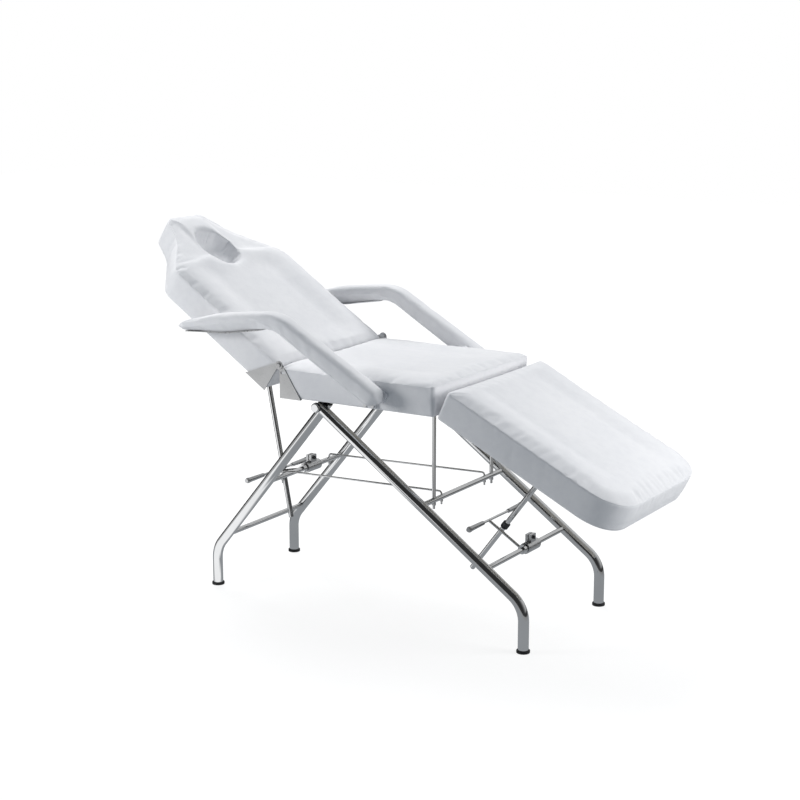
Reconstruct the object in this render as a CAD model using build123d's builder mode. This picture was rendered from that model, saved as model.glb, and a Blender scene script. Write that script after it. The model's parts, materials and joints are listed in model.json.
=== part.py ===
from build123d import *
import os
from math import atan2, cos, radians, sin, tan

os.makedirs("parts", exist_ok=True)

# Every length is in millimetres. X runs from head to foot, Y from the sitter's right
# to the left, Z up from the floor. The origin is under the middle of the whole chair.

# Cushions
seat_top_z = 762.0
cushion_t = 100.0
cushion_half = 286.0
seat_len = 540.0
back_len = 700.0
rest_len = 613.0
soft_edge_r = 24.0
soft_base_r = 6.0
dish_depth = 7.0
dish_half = 205.0
side_draw = 2.0
foot_corner_r = 110.0
shoulder_setback = 234.0
shoulder_r = 60.0
neck_setback = 102.0
neck_half = 138.0
neck_r = 140.0
head_half = 84.0
head_corner_r = 42.0
face_hole_d = 156.0
face_hole_setback = 163.0
face_edge_r = 12.0
board_t = 25.0
cover_t = 14.0

# Photographed angles of the two moving panels, from flat
back_angle = 34.0
rest_angle = 26.5

# A-frame of four bent legs
pivot_z = 640.0
seat_rear_reach = 118.0
tube_d = 32.0
tube_wall = 2.0
bend_r = 90.0
leg_overhang = 8.0
rear_half = 210.0
rear_foot_reach = 428.0
rear_bend_z = 122.0
front_foot_reach = 699.0
front_bend_z = 137.0
foot_d = 40.0
foot_h = 9.0
foot_plug_h = 20.0
foot_edge_r = 2.0

# Cross tubes, by their run down the leg from the pivot
cross_d = 16.0
cross_wall = 1.5
rear_upper_run = 354.0
rear_lower_run = 607.0
front_lower_run = 706.0

# Pivot hangers, bolts and caps
hanger_t = 4.0
hanger_r = 16.0
hanger_front_reach = 40.0
hanger_flange_w = 30.0
hanger_flange_t = 3.0
pivot_bolt_d = 10.0
pivot_head_d = 17.0
pivot_head_h = 6.0
pivot_washer_d = 30.0
pivot_washer_t = 2.5
pivot_cap_d = 28.0
pivot_cap_h = 9.0
pivot_cap_edge_r = 3.0

# Tie rods and seat posts
tie_d = 6.0
tie_half = 130.0
tie_rise = 18.0
tie_tail = 14.0
tie_bend_r = 9.0
tie_nut_w = 10.0
tie_nut_h = 5.0
post_d = 12.0
post_half = 174.0
post_setback = 66.5
post_stud_d = 8.0
post_tail = 18.0
post_flange_d = 44.0
post_flange_t = 3.0
post_nut_w = 13.0
post_nut_h = 6.5

# Back hinge: two sheet plates on each side, joined by one bolt
hinge_drop = 2.0
hinge_sheet = 2.0
hinge_bolt_d = 8.0
hinge_eye_r = 9.0
hinge_eye_lap = 4.0
hinge_head_d = 15.0
hinge_head_h = 4.0
back_plate_run = 85.0
seat_plate_run = 78.0
plate_flange_w = 30.0
plate_window_w = 9.0
plate_window_h = 18.0
plate_window_drop = 22.0
plate_window_rim = 4.0

# Leg rest hinge: two strap hinges under the front edge of the seat
knuckle_r = 4.0
leaf_t = 2.0
leaf_w = 60.0
leaf_run = 42.0
leaf_half = 200.0
leaf_pin_d = 4.0

# Struts, their brackets and their locks
strut_d = 16.0
strut_end_chamfer = 2.0
strut_eye_r = 11.0
strut_eye_rim = 1.0
strut_root_share = 0.25
strut_pin_d = 10.0
strut_pin_head_d = 16.0
strut_pin_head_h = 2.5
back_strut_run = 266.5
back_strut_len = 632.0
rest_strut_run = 288.0
rest_strut_len = 478.0
bracket_drop = 18.0
bracket_len = 72.0
bracket_w = 50.0
bracket_t = 3.0
bracket_ear_foot = 44.0
collar_d = 24.0
collar_len = 20.0
collar_lift = 4.0
collar_chamfer = 1.5

# T-levers on the cross tubes
lever_y = 20.0
lever_hub_d = 26.0
lever_hub_w = 16.0
lever_stem_d = 9.0
lever_bar_d = 8.0
rear_stem_len = 120.0
rear_stem_angle = 192.0
front_stem_len = 138.0
front_stem_angle = 148.0
lock_reach = 93.0
grip_half = 168.0
rear_bar_shift = 4.0
front_bar_shift = 23.0
grip_len = 90.0
grip_inner_d = 13.0
grip_outer_d = 16.0
grip_ring_d = 18.0
grip_ring_w = 5.0
grip_cap_t = 6.0

# Clamp sleeves beside the levers
sleeve_d = 34.0
sleeve_len = 72.0
sleeve_gap = 4.0
sleeve_slot = 3.0
sleeve_lug_w = 20.0
sleeve_lug_h = 38.0
sleeve_lug_len = 30.0
clamp_bolt_d = 6.0
clamp_bolt_h = 28.0
clamp_head_d = 10.0
clamp_head_h = 5.0

# Armrests
arm_w = 60.0
arm_side_gap = 8.0
arm_bend_reach = 95.0
arm_bend_z = 905.0
arm_upper_len = 366.0
arm_upper_angle = 7.6
arm_lower_len = 412.0
arm_lower_angle = 30.0
arm_tip_t = 26.0
arm_belly_t = 55.0
arm_belly_share = 0.5
arm_mid_t = 46.0
arm_end_t = 52.0
arm_tip_r = 12.0
arm_top_bend_r = 150.0
arm_belly_r = 200.0
arm_low_bend_r = 60.0
arm_end_r = 24.0
arm_edge_r = 9.0
strip_t = 3.0
strip_w = 36.0
strip_setback = 26.0
strip_front_setback = 46.0
arm_plate_len = 96.0
arm_plate_w = 34.0
arm_plate_r = 8.0
arm_tab_len = 44.0
arm_tab_setback = 34.0
arm_bolt_d = 6.0
arm_bolt_len = 34.0
arm_bolt_pitch = 26.0
arm_bolt_head_d = 11.0
arm_bolt_head_h = 4.0

# Clearances
hinge_gap = 1.0
soft_gap = 0.3
run_gap = 0.1
slide_gap = 0.3
weld_gap = 0.1
side_gap = 0.5
overrun = 5.0

# Places worked out from the sizes above
seat_base_z = seat_top_z - cushion_t
shoulder_run = back_len - shoulder_setback
neck_run = back_len - neck_setback
face_hole_run = back_len - face_hole_setback
strut_eye_w = strut_d + 2 * strut_eye_rim
hinge_z = seat_top_z - hinge_drop
back_tilt = radians(back_angle)
rest_tilt = radians(rest_angle)
rear_reach = (
    seat_rear_reach + (back_len - soft_base_r) * cos(back_tilt)
    + (cushion_t - hinge_drop - soft_base_r) * sin(back_tilt) + soft_base_r
)
rest_hinge_reach = seat_len - seat_rear_reach
front_reach = (
    rest_hinge_reach + (rest_len - soft_edge_r) * cos(rest_tilt)
    + (knuckle_r + cushion_t - soft_edge_r) * sin(rest_tilt) + soft_edge_r
)
pivot_x = (rear_reach - front_reach) / 2
hinge_x = pivot_x - seat_rear_reach
rest_hinge_x = pivot_x + rest_hinge_reach
rest_hinge_z = seat_base_z - knuckle_r
front_half = rear_half + tube_d + hanger_t + 2 * side_gap
hanger_y = (rear_half + front_half) / 2
tube_r = tube_d / 2
cross_r = cross_d / 2
plate_y = cushion_half + soft_gap
arm_inner = cushion_half + arm_side_gap
arm_y = arm_inner + arm_w / 2
SIDES = (("right", -1), ("left", 1))

# Planes of the three panels: local x runs away from the hinge, local z up from the cushion
seat_plane = Plane(origin=(hinge_x, 0, seat_base_z), x_dir=(1, 0, 0), z_dir=(0, 0, 1))
back_plane = Plane(
    origin=(hinge_x, 0, hinge_z),
    x_dir=(-cos(back_tilt), 0, sin(back_tilt)),
    z_dir=(sin(back_tilt), 0, cos(back_tilt)),
)
rest_plane = Plane(
    origin=(rest_hinge_x, 0, rest_hinge_z),
    x_dir=(cos(rest_tilt), 0, -sin(rest_tilt)),
    z_dir=(sin(rest_tilt), 0, cos(rest_tilt)),
)
back_base_n = hinge_drop - cushion_t
rest_base_n = knuckle_r


def save(piece, name):
    piece.part.label = name
    export_step(piece.part, f"parts/{name}.step")


def upright(y):
    """The plane that stands along the chair at y: local x is X and local y is Z."""
    return Plane(origin=(0, y, 0), x_dir=(1, 0, 0), z_dir=(0, -1, 0))


def facing(plane, y):
    """The plane along a panel at y: local x runs away from the hinge, local y up."""
    origin = plane.origin + Vector(0, y, 0)
    return Plane(origin=origin, x_dir=plane.x_dir, z_dir=plane.x_dir.cross(plane.z_dir))


def leg_point(side, reach, bend_z, run):
    """The place on a leg's centre line, run down from the pivot."""
    lean = atan2(reach, pivot_z - bend_z)
    return (pivot_x + side * sin(lean) * run, pivot_z - cos(lean) * run)


def run_to(side, reach, bend_z, x):
    """The run down a leg, from the pivot, that comes to a place along the chair."""
    lean = atan2(reach, pivot_z - bend_z)
    return side * (x - pivot_x) / sin(lean)


def rear_point(run):
    return leg_point(-1, rear_foot_reach, rear_bend_z, run)


def front_point(run):
    return leg_point(1, front_foot_reach, front_bend_z, run)


rear_upper = rear_point(rear_upper_run)
rear_lower = rear_point(rear_lower_run)
front_upper = front_point(run_to(1, front_foot_reach, front_bend_z, rest_hinge_x - post_setback))
front_lower = front_point(front_lower_run)


# Outlines of the panels, in their own planes
def drawn_side(start, end, y):
    """One long side, pulled in a little between its ends."""
    middle = (start + end) / 2
    pull = side_draw if y > 0 else -side_draw
    return ThreePointArc((start, y), (middle, y - pull), (end, y))


def side_at(run):
    """Half width of the seat at a place along it."""
    half = seat_len / 2
    return cushion_half - side_draw * (1 - ((run - half) / half) ** 2)


def seat_outline():
    with BuildSketch() as outline:
        with BuildLine():
            near = drawn_side(hinge_gap, seat_len - hinge_gap, -cushion_half)
            far = drawn_side(hinge_gap, seat_len - hinge_gap, cushion_half)
            Line(near @ 0, far @ 0)
            Line(near @ 1, far @ 1)
        make_face()
    return outline.sketch


def rest_outline():
    with BuildSketch() as outline:
        with BuildLine():
            straight_end = rest_len - foot_corner_r
            near = Line((hinge_gap, -cushion_half), (straight_end, -cushion_half))
            far = Line((hinge_gap, cushion_half), (straight_end, cushion_half))
            near_end = (rest_len, foot_corner_r - cushion_half)
            far_end = (rest_len, cushion_half - foot_corner_r)
            RadiusArc(near @ 1, near_end, -foot_corner_r)
            RadiusArc(far @ 1, far_end, foot_corner_r)
            Line(near_end, far_end)
            Line(near @ 0, far @ 0)
        make_face()
    return outline.sketch


def back_outline():
    half_points = (
        (shoulder_run, cushion_half, shoulder_r),
        (neck_run, neck_half, neck_r),
        (back_len, head_half, head_corner_r),
    )
    near = [(run, -half) for run, half, _ in half_points]
    far = [(run, half) for run, half, _ in reversed(half_points)]
    radii = [radius for _, _, radius in half_points]
    points = [(hinge_gap, -cushion_half), *near, *far, (hinge_gap, cushion_half)]
    with BuildSketch() as outline:
        with BuildLine():
            FilletPolyline(*points, radius=[0, *radii, *reversed(radii), 0], close=True)
        make_face()
    return outline.sketch


def cushion(plane, outline, base_n, length, hole_run=None):
    """A box cushion: rounded above, dished along its middle, with a pocket for its board."""
    scoop_r = (dish_half ** 2 + dish_depth ** 2) / (2 * dish_depth)
    scoop_n = base_n + cushion_t - dish_depth + scoop_r
    with BuildPart() as pad:
        with BuildSketch(plane.offset(base_n)):
            add(outline)
            if hole_run:
                with Locations((hole_run, 0)):
                    Circle(face_hole_d / 2, mode=Mode.SUBTRACT)
        extrude(amount=cushion_t)
        top = pad.faces().sort_by(lambda face: (plane.to_local_coords(face).center()).Z)[-1]
        base = pad.faces().sort_by(lambda face: (plane.to_local_coords(face).center()).Z)[0]
        top_rim = top.outer_wire().edges()
        base_rim = base.outer_wire().edges()
        hole_rim = ShapeList([edge for wire in top.inner_wires() for edge in wire.edges()])
        fillet(top_rim, soft_edge_r)
        fillet(base_rim, soft_base_r)
        if hole_run:
            fillet(hole_rim, face_edge_r)
        across = Plane(origin=plane.from_local_coords((-overrun, 0, 0)), x_dir=(0, 1, 0), z_dir=plane.x_dir)
        rise = 1 if across.y_dir.dot(plane.z_dir) > 0 else -1
        with BuildSketch(across):
            with Locations((0, rise * scoop_n)):
                Circle(scoop_r)
        extrude(amount=length + 2 * overrun, mode=Mode.SUBTRACT)
        with BuildSketch(plane.offset(base_n)):
            add(board_sketch(outline, hole_run, cover_t - soft_gap))
        extrude(amount=board_t + soft_gap, mode=Mode.SUBTRACT)
    return pad


def board_sketch(outline, hole_run, inset):
    with BuildSketch() as sheet:
        add(offset(outline, amount=-inset, mode=Mode.PRIVATE))
        if hole_run:
            with Locations((hole_run, 0)):
                Circle(face_hole_d / 2 + inset, mode=Mode.SUBTRACT)
    return sheet.sketch


def board(plane, outline, base_n, hole_run=None):
    with BuildPart() as panel:
        with BuildSketch(plane.offset(base_n)):
            add(board_sketch(outline, hole_run, cover_t))
        extrude(amount=board_t)
    return panel


# Armrest outline, from its bend
arm_bend = Vector(pivot_x - arm_bend_reach, arm_bend_z)
arm_back_dir = Vector(-1, 0).rotate(Axis.Z, arm_upper_angle)
arm_front_dir = Vector(1, 0).rotate(Axis.Z, -arm_lower_angle)
arm_back_up = arm_back_dir.rotate(Axis.Z, -90)
arm_front_up = arm_front_dir.rotate(Axis.Z, 90)
arm_turn = radians(arm_lower_angle + arm_upper_angle)
arm_mid_up = (arm_back_up + arm_front_up).normalized() * (arm_mid_t / 2 / cos(arm_turn / 2))
arm_tip = arm_bend + arm_back_dir * arm_upper_len
arm_end = arm_bend + arm_front_dir * arm_lower_len
arm_tip_top = arm_tip + arm_back_up * (arm_tip_t / 2)
arm_tip_low = arm_tip - arm_back_up * (arm_tip_t / 2)
arm_end_top = arm_end + arm_front_up * (arm_end_t / 2)
arm_end_low = arm_end - arm_front_up * (arm_end_t / 2)
arm_low_bend = arm_bend - arm_mid_up
arm_belly = arm_bend + arm_back_dir * arm_upper_len * arm_belly_share
arm_belly_top = arm_belly + arm_back_up * (arm_belly_t / 2)
arm_belly_low = arm_belly - arm_back_up * (arm_belly_t / 2)

# The bolts that hold each armrest's plate to the edge of the seat board
arm_bolt_z = seat_base_z + board_t / 2
arm_tab_x = arm_end.X - arm_tab_setback - arm_tab_len / 2
arm_tab_top = arm_end.Y + arm_tab_setback * tan(radians(arm_lower_angle))
arm_bolt_xs = [arm_tab_x - arm_bolt_pitch / 2, arm_tab_x + arm_bolt_pitch / 2]
arm_plate_inner = side_at(arm_tab_x + arm_tab_len / 2 - hinge_x) + soft_gap
arm_plate_outer = arm_inner - soft_gap


def drill_arm_bolts(radius):
    """Sunk holes for the armrest bolts, from both sides of the seat."""
    for _, side in SIDES:
        with BuildSketch(upright(side * (cushion_half + overrun))) as holes:
            with Locations(*[(x, arm_bolt_z) for x in arm_bolt_xs]):
                Circle(radius)
        extrude(holes.sketch, amount=side * (overrun + arm_bolt_len), mode=Mode.SUBTRACT)


# Seat
seat_cushion = cushion(seat_plane, seat_outline(), 0, seat_len)
with seat_cushion:
    drill_arm_bolts(arm_bolt_d / 2 + soft_gap)
save(seat_cushion, "seat_cushion")

seat_board = board(seat_plane, seat_outline(), 0)
with seat_board:
    drill_arm_bolts(arm_bolt_d / 2 + run_gap)
save(seat_board, "seat_board")

# Backrest, with its face hole
back_cushion = cushion(back_plane, back_outline(), back_base_n, back_len, face_hole_run)
save(back_cushion, "back_cushion")

back_board = board(back_plane, back_outline(), back_base_n, face_hole_run)
save(back_board, "back_board")

# Leg rest
leg_cushion = cushion(rest_plane, rest_outline(), rest_base_n, rest_len)
save(leg_cushion, "leg_cushion")

leg_board = board(rest_plane, rest_outline(), rest_base_n)
save(leg_board, "leg_board")


# Legs: round tube with one bend, so that each foot stands upright on the floor
def leg(y, side, reach, bend_z):
    foot_x = pivot_x + side * reach
    with BuildPart() as tube:
        with BuildLine(upright(y)) as path:
            FilletPolyline(
                leg_point(side, reach, bend_z, -leg_overhang),
                (foot_x, bend_z),
                (foot_x, foot_h),
                radius=bend_r,
            )
        with BuildSketch(Plane(origin=path.line @ 0, z_dir=path.line % 0)):
            Circle(tube_r)
            Circle(tube_r - tube_wall, mode=Mode.SUBTRACT)
        sweep(path=path.line)
        with BuildSketch(upright(y)):
            with Locations((pivot_x, pivot_z)):
                Circle(pivot_bolt_d / 2 + run_gap)
        extrude(amount=tube_d, both=True, mode=Mode.SUBTRACT)
    return tube


for side_name, side in SIDES:
    save(leg(side * rear_half, -1, rear_foot_reach, rear_bend_z), f"leg_rear_{side_name}")
    save(leg(side * front_half, 1, front_foot_reach, front_bend_z), f"leg_front_{side_name}")


# Rubber feet: a flange under the tube and a plug inside it
def feet(foot_x, half):
    with BuildPart() as pair:
        for _, side in SIDES:
            with BuildSketch():
                with Locations((foot_x, side * half)):
                    Circle(foot_d / 2)
            extrude(amount=foot_h)
        rims = pair.edges().filter_by(GeomType.CIRCLE).group_by(Axis.Z)
        fillet(rims[0] + rims[-1], foot_edge_r)
        for _, side in SIDES:
            with BuildSketch(Plane.XY.offset(foot_h)):
                with Locations((foot_x, side * half)):
                    Circle(tube_r - tube_wall - slide_gap)
            extrude(amount=foot_plug_h)
    return pair


save(feet(pivot_x - rear_foot_reach, rear_half), "feet_rear")
save(feet(pivot_x + front_foot_reach, front_half), "feet_front")


# Cross tubes, coped to the legs that they are welded to
def cross_tube(place, half, holes=()):
    lean = Vector(place[0] - pivot_x, 0, place[1] - pivot_z)
    with BuildPart() as tube:
        with BuildSketch(upright(0)):
            with Locations(place):
                Circle(cross_r)
                Circle(cross_r - cross_wall, mode=Mode.SUBTRACT)
        extrude(amount=half, both=True)
        for _, side in SIDES:
            with BuildSketch(Plane(origin=(pivot_x, side * half, pivot_z), z_dir=lean)):
                Circle(tube_r + weld_gap)
            extrude(amount=lean.length + tube_d, mode=Mode.SUBTRACT)
            for hole_y, hole_r in holes:
                with BuildSketch(Plane.XY.offset(place[1] - cross_d)):
                    with Locations((place[0], side * hole_y)):
                        Circle(hole_r)
                extrude(amount=2 * cross_d, mode=Mode.SUBTRACT)
    return tube


tie_hole = (tie_half, tie_d / 2 + run_gap)
post_hole = (post_half, post_stud_d / 2 + run_gap)
save(cross_tube(rear_upper, rear_half, [tie_hole]), "cross_tube_rear_upper")
save(cross_tube(rear_lower, rear_half), "cross_tube_rear_lower")
save(cross_tube(front_upper, front_half, [tie_hole, post_hole]), "cross_tube_front_upper")
save(cross_tube(front_lower, front_half), "cross_tube_front_lower")


# Tie rods that hold the two frames at their spread, hooked down through the cross tubes
def tie_rod(y):
    rear_x, rear_z = rear_upper
    front_x, front_z = front_upper
    with BuildPart() as rod:
        with BuildLine(upright(y)) as path:
            FilletPolyline(
                (rear_x, rear_z - cross_r - tie_tail),
                (rear_x, rear_z + tie_rise),
                (front_x, front_z + tie_rise),
                (front_x, front_z - cross_r - tie_tail),
                radius=tie_bend_r,
            )
        with BuildSketch(Plane(origin=path.line @ 0, z_dir=path.line % 0)):
            Circle(tie_d / 2)
        sweep(path=path.line)
    return rod


for side_name, side in SIDES:
    save(tie_rod(side * tie_half), f"tie_rod_{side_name}")


def nuts(places, y, width, height, bore_d):
    """Hexagon nuts drawn up against the underside of a cross tube."""
    with BuildPart() as group:
        for x, z in places:
            for _, side in SIDES:
                with BuildSketch(Plane.XY.offset(z - cross_r - height)):
                    with Locations((x, side * y)):
                        RegularPolygon(width / 2, 6, major_radius=False)
                        Circle(bore_d / 2 + run_gap, mode=Mode.SUBTRACT)
                extrude(amount=height)
    return group


save(nuts([rear_upper, front_upper], tie_half, tie_nut_w, tie_nut_h, tie_d), "tie_rod_nuts")
save(nuts([front_upper], post_half, post_nut_w, post_nut_h, post_stud_d), "seat_post_nuts")


# Posts that carry the front of the seat on the upper front cross tube
def seat_post(y):
    post_x, tube_z = front_upper
    flange_z = seat_base_z - post_flange_t
    with BuildPart() as post:
        with BuildSketch(Plane.XY.offset(tube_z - cross_r - post_tail)):
            with Locations((post_x, y)):
                Circle(post_stud_d / 2)
        extrude(amount=post_tail + cross_d)
        with BuildSketch(Plane.XY.offset(tube_z + cross_r)):
            with Locations((post_x, y)):
                Circle(post_d / 2)
        extrude(amount=flange_z - tube_z - cross_r)
        with BuildSketch(Plane.XY.offset(flange_z)):
            with Locations((post_x, y)):
                Circle(post_flange_d / 2)
        extrude(amount=post_flange_t)
    return post


for side_name, side in SIDES:
    save(seat_post(side * post_half), f"seat_post_{side_name}")


# Pivot hangers: a plate between the two legs of a side, with a flange under the seat
def pivot_hanger(side):
    with BuildPart() as hanger:
        with BuildSketch(upright(side * hanger_y)):
            with Locations((pivot_x, pivot_z)):
                Circle(hanger_r)
            Polygon(
                (pivot_x - hanger_r, pivot_z),
                (pivot_x - hanger_r, seat_base_z),
                (pivot_x + hanger_front_reach, seat_base_z),
                (pivot_x + hanger_front_reach, seat_base_z - hanger_flange_t),
                (pivot_x + hanger_r, pivot_z),
                align=None,
            )
        extrude(amount=hanger_t / 2, both=True)
        flange_low = side * (hanger_y - hanger_t / 2)
        with BuildSketch(Plane.XY.offset(seat_base_z - hanger_flange_t)):
            Polygon(
                (pivot_x - hanger_r, flange_low),
                (pivot_x + hanger_front_reach, flange_low),
                (pivot_x + hanger_front_reach, flange_low + side * hanger_flange_w),
                (pivot_x - hanger_r, flange_low + side * hanger_flange_w),
                align=None,
            )
        extrude(amount=hanger_flange_t)
        with BuildSketch(upright(side * hanger_y)):
            with Locations((pivot_x, pivot_z)):
                Circle(pivot_bolt_d / 2 + run_gap)
        extrude(amount=tube_d, both=True, mode=Mode.SUBTRACT)
    return hanger


for side_name, side in SIDES:
    save(pivot_hanger(side), f"pivot_hanger_{side_name}")


def discs(half, thickness, diameter, bore_d=0):
    """A disc on the pivot axis at each side, reaching out from half."""
    with BuildPart() as pair:
        for _, side in SIDES:
            with BuildSketch(upright(side * half)):
                with Locations((pivot_x, pivot_z)):
                    Circle(diameter / 2)
                    if bore_d:
                        Circle(bore_d / 2 + run_gap, mode=Mode.SUBTRACT)
            extrude(amount=-side * thickness)
    return pair


washer_half = front_half + tube_r + side_gap
cap_half = washer_half + pivot_washer_t
bolt_head_half = rear_half - tube_r - side_gap - pivot_head_h
save(discs(washer_half, pivot_washer_t, pivot_washer_d, pivot_bolt_d), "pivot_washers")

pivot_caps = discs(cap_half, pivot_cap_h, pivot_cap_d)
with pivot_caps:
    cap_rims = pivot_caps.edges().filter_by(GeomType.CIRCLE).group_by(Axis.Y)
    fillet(cap_rims[0] + cap_rims[-1], pivot_cap_edge_r)
save(pivot_caps, "pivot_caps")

with BuildPart() as pivot_bolts:
    for _, side in SIDES:
        with BuildSketch(upright(side * bolt_head_half)):
            with Locations((pivot_x, pivot_z)):
                RegularPolygon(pivot_head_d / 2, 6, major_radius=False)
        extrude(amount=-side * pivot_head_h)
        with BuildSketch(upright(side * bolt_head_half)):
            with Locations((pivot_x, pivot_z)):
                Circle(pivot_bolt_d / 2)
        extrude(amount=-side * (cap_half - bolt_head_half))
save(pivot_bolts, "pivot_bolts")


# Back hinge plates. The backrest's plate lies inside, and the eye of the seat's plate
# laps over it, so that both turn on one bolt at the top edge of the cushions.
def back_hinge_plate(side):
    low = back_base_n - hinge_sheet
    across = side * back_plane.y_dir.Y
    with BuildPart() as plate:
        with BuildSketch(facing(back_plane, side * (plate_y + hinge_sheet / 2))):
            Circle(hinge_eye_r)
            Polygon(
                (hinge_gap, hinge_eye_r / 2),
                (hinge_gap, low),
                (back_plate_run, low),
                (hinge_eye_r, hinge_eye_r / 2),
                align=None,
            )
            Circle(hinge_bolt_d / 2 + run_gap, mode=Mode.SUBTRACT)
        extrude(amount=hinge_sheet / 2, both=True)
        with BuildSketch(back_plane.offset(low)):
            Polygon(
                (hinge_gap, across * (plate_y + hinge_sheet)),
                (back_plate_run, across * (plate_y + hinge_sheet)),
                (back_plate_run - plate_flange_w / 2, across * (plate_y - plate_flange_w)),
                (hinge_gap + plate_flange_w / 2, across * (plate_y - plate_flange_w)),
                align=None,
            )
        extrude(amount=hinge_sheet)
    return plate


def seat_hinge_plate(side):
    low = seat_base_z - hinge_sheet
    lap_y = plate_y + hinge_sheet + slide_gap
    lap_r = hinge_eye_r + slide_gap
    with BuildPart() as plate:
        with BuildSketch(upright(side * (plate_y + hinge_sheet / 2))):
            Polygon(
                (hinge_x + hinge_gap, hinge_z),
                (hinge_x + hinge_gap, low),
                (hinge_x + seat_plate_run, low),
                (hinge_x + lap_r + hinge_eye_lap, hinge_z),
                align=None,
            )
            with Locations((hinge_x, hinge_z)):
                Circle(lap_r, mode=Mode.SUBTRACT)
        extrude(amount=hinge_sheet / 2, both=True)
        with BuildSketch(upright(side * plate_y)):
            with Locations((hinge_x, hinge_z)):
                Circle(lap_r + hinge_eye_lap)
            Polygon(
                (hinge_x + hinge_gap, hinge_z),
                (hinge_x + hinge_gap, low),
                (hinge_x + seat_plate_run, hinge_z),
                align=None,
                mode=Mode.INTERSECT,
            )
            with Locations((hinge_x, hinge_z)):
                Circle(lap_r, mode=Mode.SUBTRACT)
        extrude(amount=-side * (lap_y + hinge_sheet - plate_y))
        with BuildSketch(upright(side * lap_y)):
            with Locations((hinge_x, hinge_z)):
                Circle(lap_r + hinge_eye_lap)
                Circle(hinge_bolt_d / 2 + run_gap, mode=Mode.SUBTRACT)
        extrude(amount=-side * hinge_sheet)
        window_x = hinge_x + hinge_gap + plate_window_rim + plate_window_h / 2
        with BuildSketch(upright(side * (plate_y + hinge_sheet / 2))):
            with Locations((window_x, hinge_z - plate_window_drop)):
                SlotOverall(plate_window_h, plate_window_w)
        extrude(amount=hinge_sheet + slide_gap, both=True, mode=Mode.SUBTRACT)
        with BuildSketch(Plane.XY.offset(low)):
            Polygon(
                (hinge_x + hinge_gap, side * (plate_y + hinge_sheet)),
                (hinge_x + seat_plate_run, side * (plate_y + hinge_sheet)),
                (hinge_x + seat_plate_run - plate_flange_w / 2, side * (plate_y - plate_flange_w)),
                (hinge_x + plate_flange_w / 2, side * (plate_y - plate_flange_w)),
                align=None,
            )
        extrude(amount=hinge_sheet)
    return plate


for side_name, side in SIDES:
    save(back_hinge_plate(side), f"hinge_plate_back_{side_name}")
    save(seat_hinge_plate(side), f"hinge_plate_seat_{side_name}")

with BuildPart() as back_hinge_bolts:
    lap_outer = plate_y + 2 * hinge_sheet + slide_gap
    for _, side in SIDES:
        with BuildSketch(upright(side * plate_y)):
            with Locations((hinge_x, hinge_z)):
                Circle(hinge_bolt_d / 2)
        extrude(amount=-side * (lap_outer + run_gap - plate_y))
        with BuildSketch(upright(side * (lap_outer + run_gap))):
            with Locations((hinge_x, hinge_z)):
                Circle(hinge_head_d / 2)
        extrude(amount=-side * hinge_head_h)
    head_rims = back_hinge_bolts.edges().filter_by(GeomType.CIRCLE).group_by(Axis.Y)
    fillet(head_rims[0] + head_rims[-1], hinge_head_h / 3)
save(back_hinge_bolts, "back_hinge_bolts")


# Leg rest strap hinges: the seat's leaves have the outer knuckles, the rest's the middle one
def hinge_leaves(plane, top_n, direction, spans):
    """Leaves on both sides. Each span is a stretch of knuckle, from the leaf's inner edge."""
    with BuildPart() as leaves:
        for _, side in SIDES:
            inner = leaf_half - leaf_w / 2
            with BuildSketch(plane.offset(top_n - leaf_t)):
                Polygon(
                    (direction * (knuckle_r + side_gap), side * inner),
                    (direction * (knuckle_r + side_gap), side * (inner + leaf_w)),
                    (direction * leaf_run, side * (inner + leaf_w - knuckle_r)),
                    (direction * leaf_run, side * (inner + knuckle_r)),
                    align=None,
                )
            extrude(amount=leaf_t)
            for low, high in spans:
                with BuildSketch(plane.offset(top_n - leaf_t)):
                    Polygon(
                        (0, side * (inner + low)),
                        (0, side * (inner + high)),
                        (direction * (knuckle_r + side_gap), side * (inner + high)),
                        (direction * (knuckle_r + side_gap), side * (inner + low)),
                        align=None,
                    )
                extrude(amount=leaf_t)
                barrel = Plane(
                    origin=plane.origin + Vector(0, side * (inner + low), 0),
                    z_dir=(0, side, 0),
                )
                with BuildSketch(barrel):
                    Circle(knuckle_r)
                extrude(amount=high - low)
            bore = Plane(origin=plane.origin + Vector(0, side * (inner - overrun), 0), z_dir=(0, side, 0))
            with BuildSketch(bore):
                Circle(leaf_pin_d / 2 + run_gap)
            extrude(amount=leaf_w + 2 * overrun, mode=Mode.SUBTRACT)
    return leaves


fixed_leaf_plane = Plane(origin=rest_plane.origin, x_dir=(1, 0, 0), z_dir=(0, 0, 1))
knuckle_w = leaf_w / 3
fixed_spans = [(0, knuckle_w), (2 * knuckle_w, leaf_w)]
moving_spans = [(knuckle_w + slide_gap, 2 * knuckle_w - slide_gap)]
save(hinge_leaves(fixed_leaf_plane, knuckle_r, -1, fixed_spans), "leg_hinge_leaves_seat")
save(hinge_leaves(rest_plane, knuckle_r, 1, moving_spans), "leg_hinge_leaves_rest")

with BuildPart() as leg_hinge_pins:
    for _, side in SIDES:
        pin_start = side * (leaf_half - leaf_w / 2)
        with BuildSketch(Plane(origin=rest_plane.origin + Vector(0, pin_start, 0), z_dir=(0, side, 0))):
            Circle(leaf_pin_d / 2)
        extrude(amount=leaf_w)
save(leg_hinge_pins, "leg_hinge_pins")


# Strut brackets: a base plate under a board, with two ears round the strut's eye
ear_inner = strut_eye_w / 2 + side_gap


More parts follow.
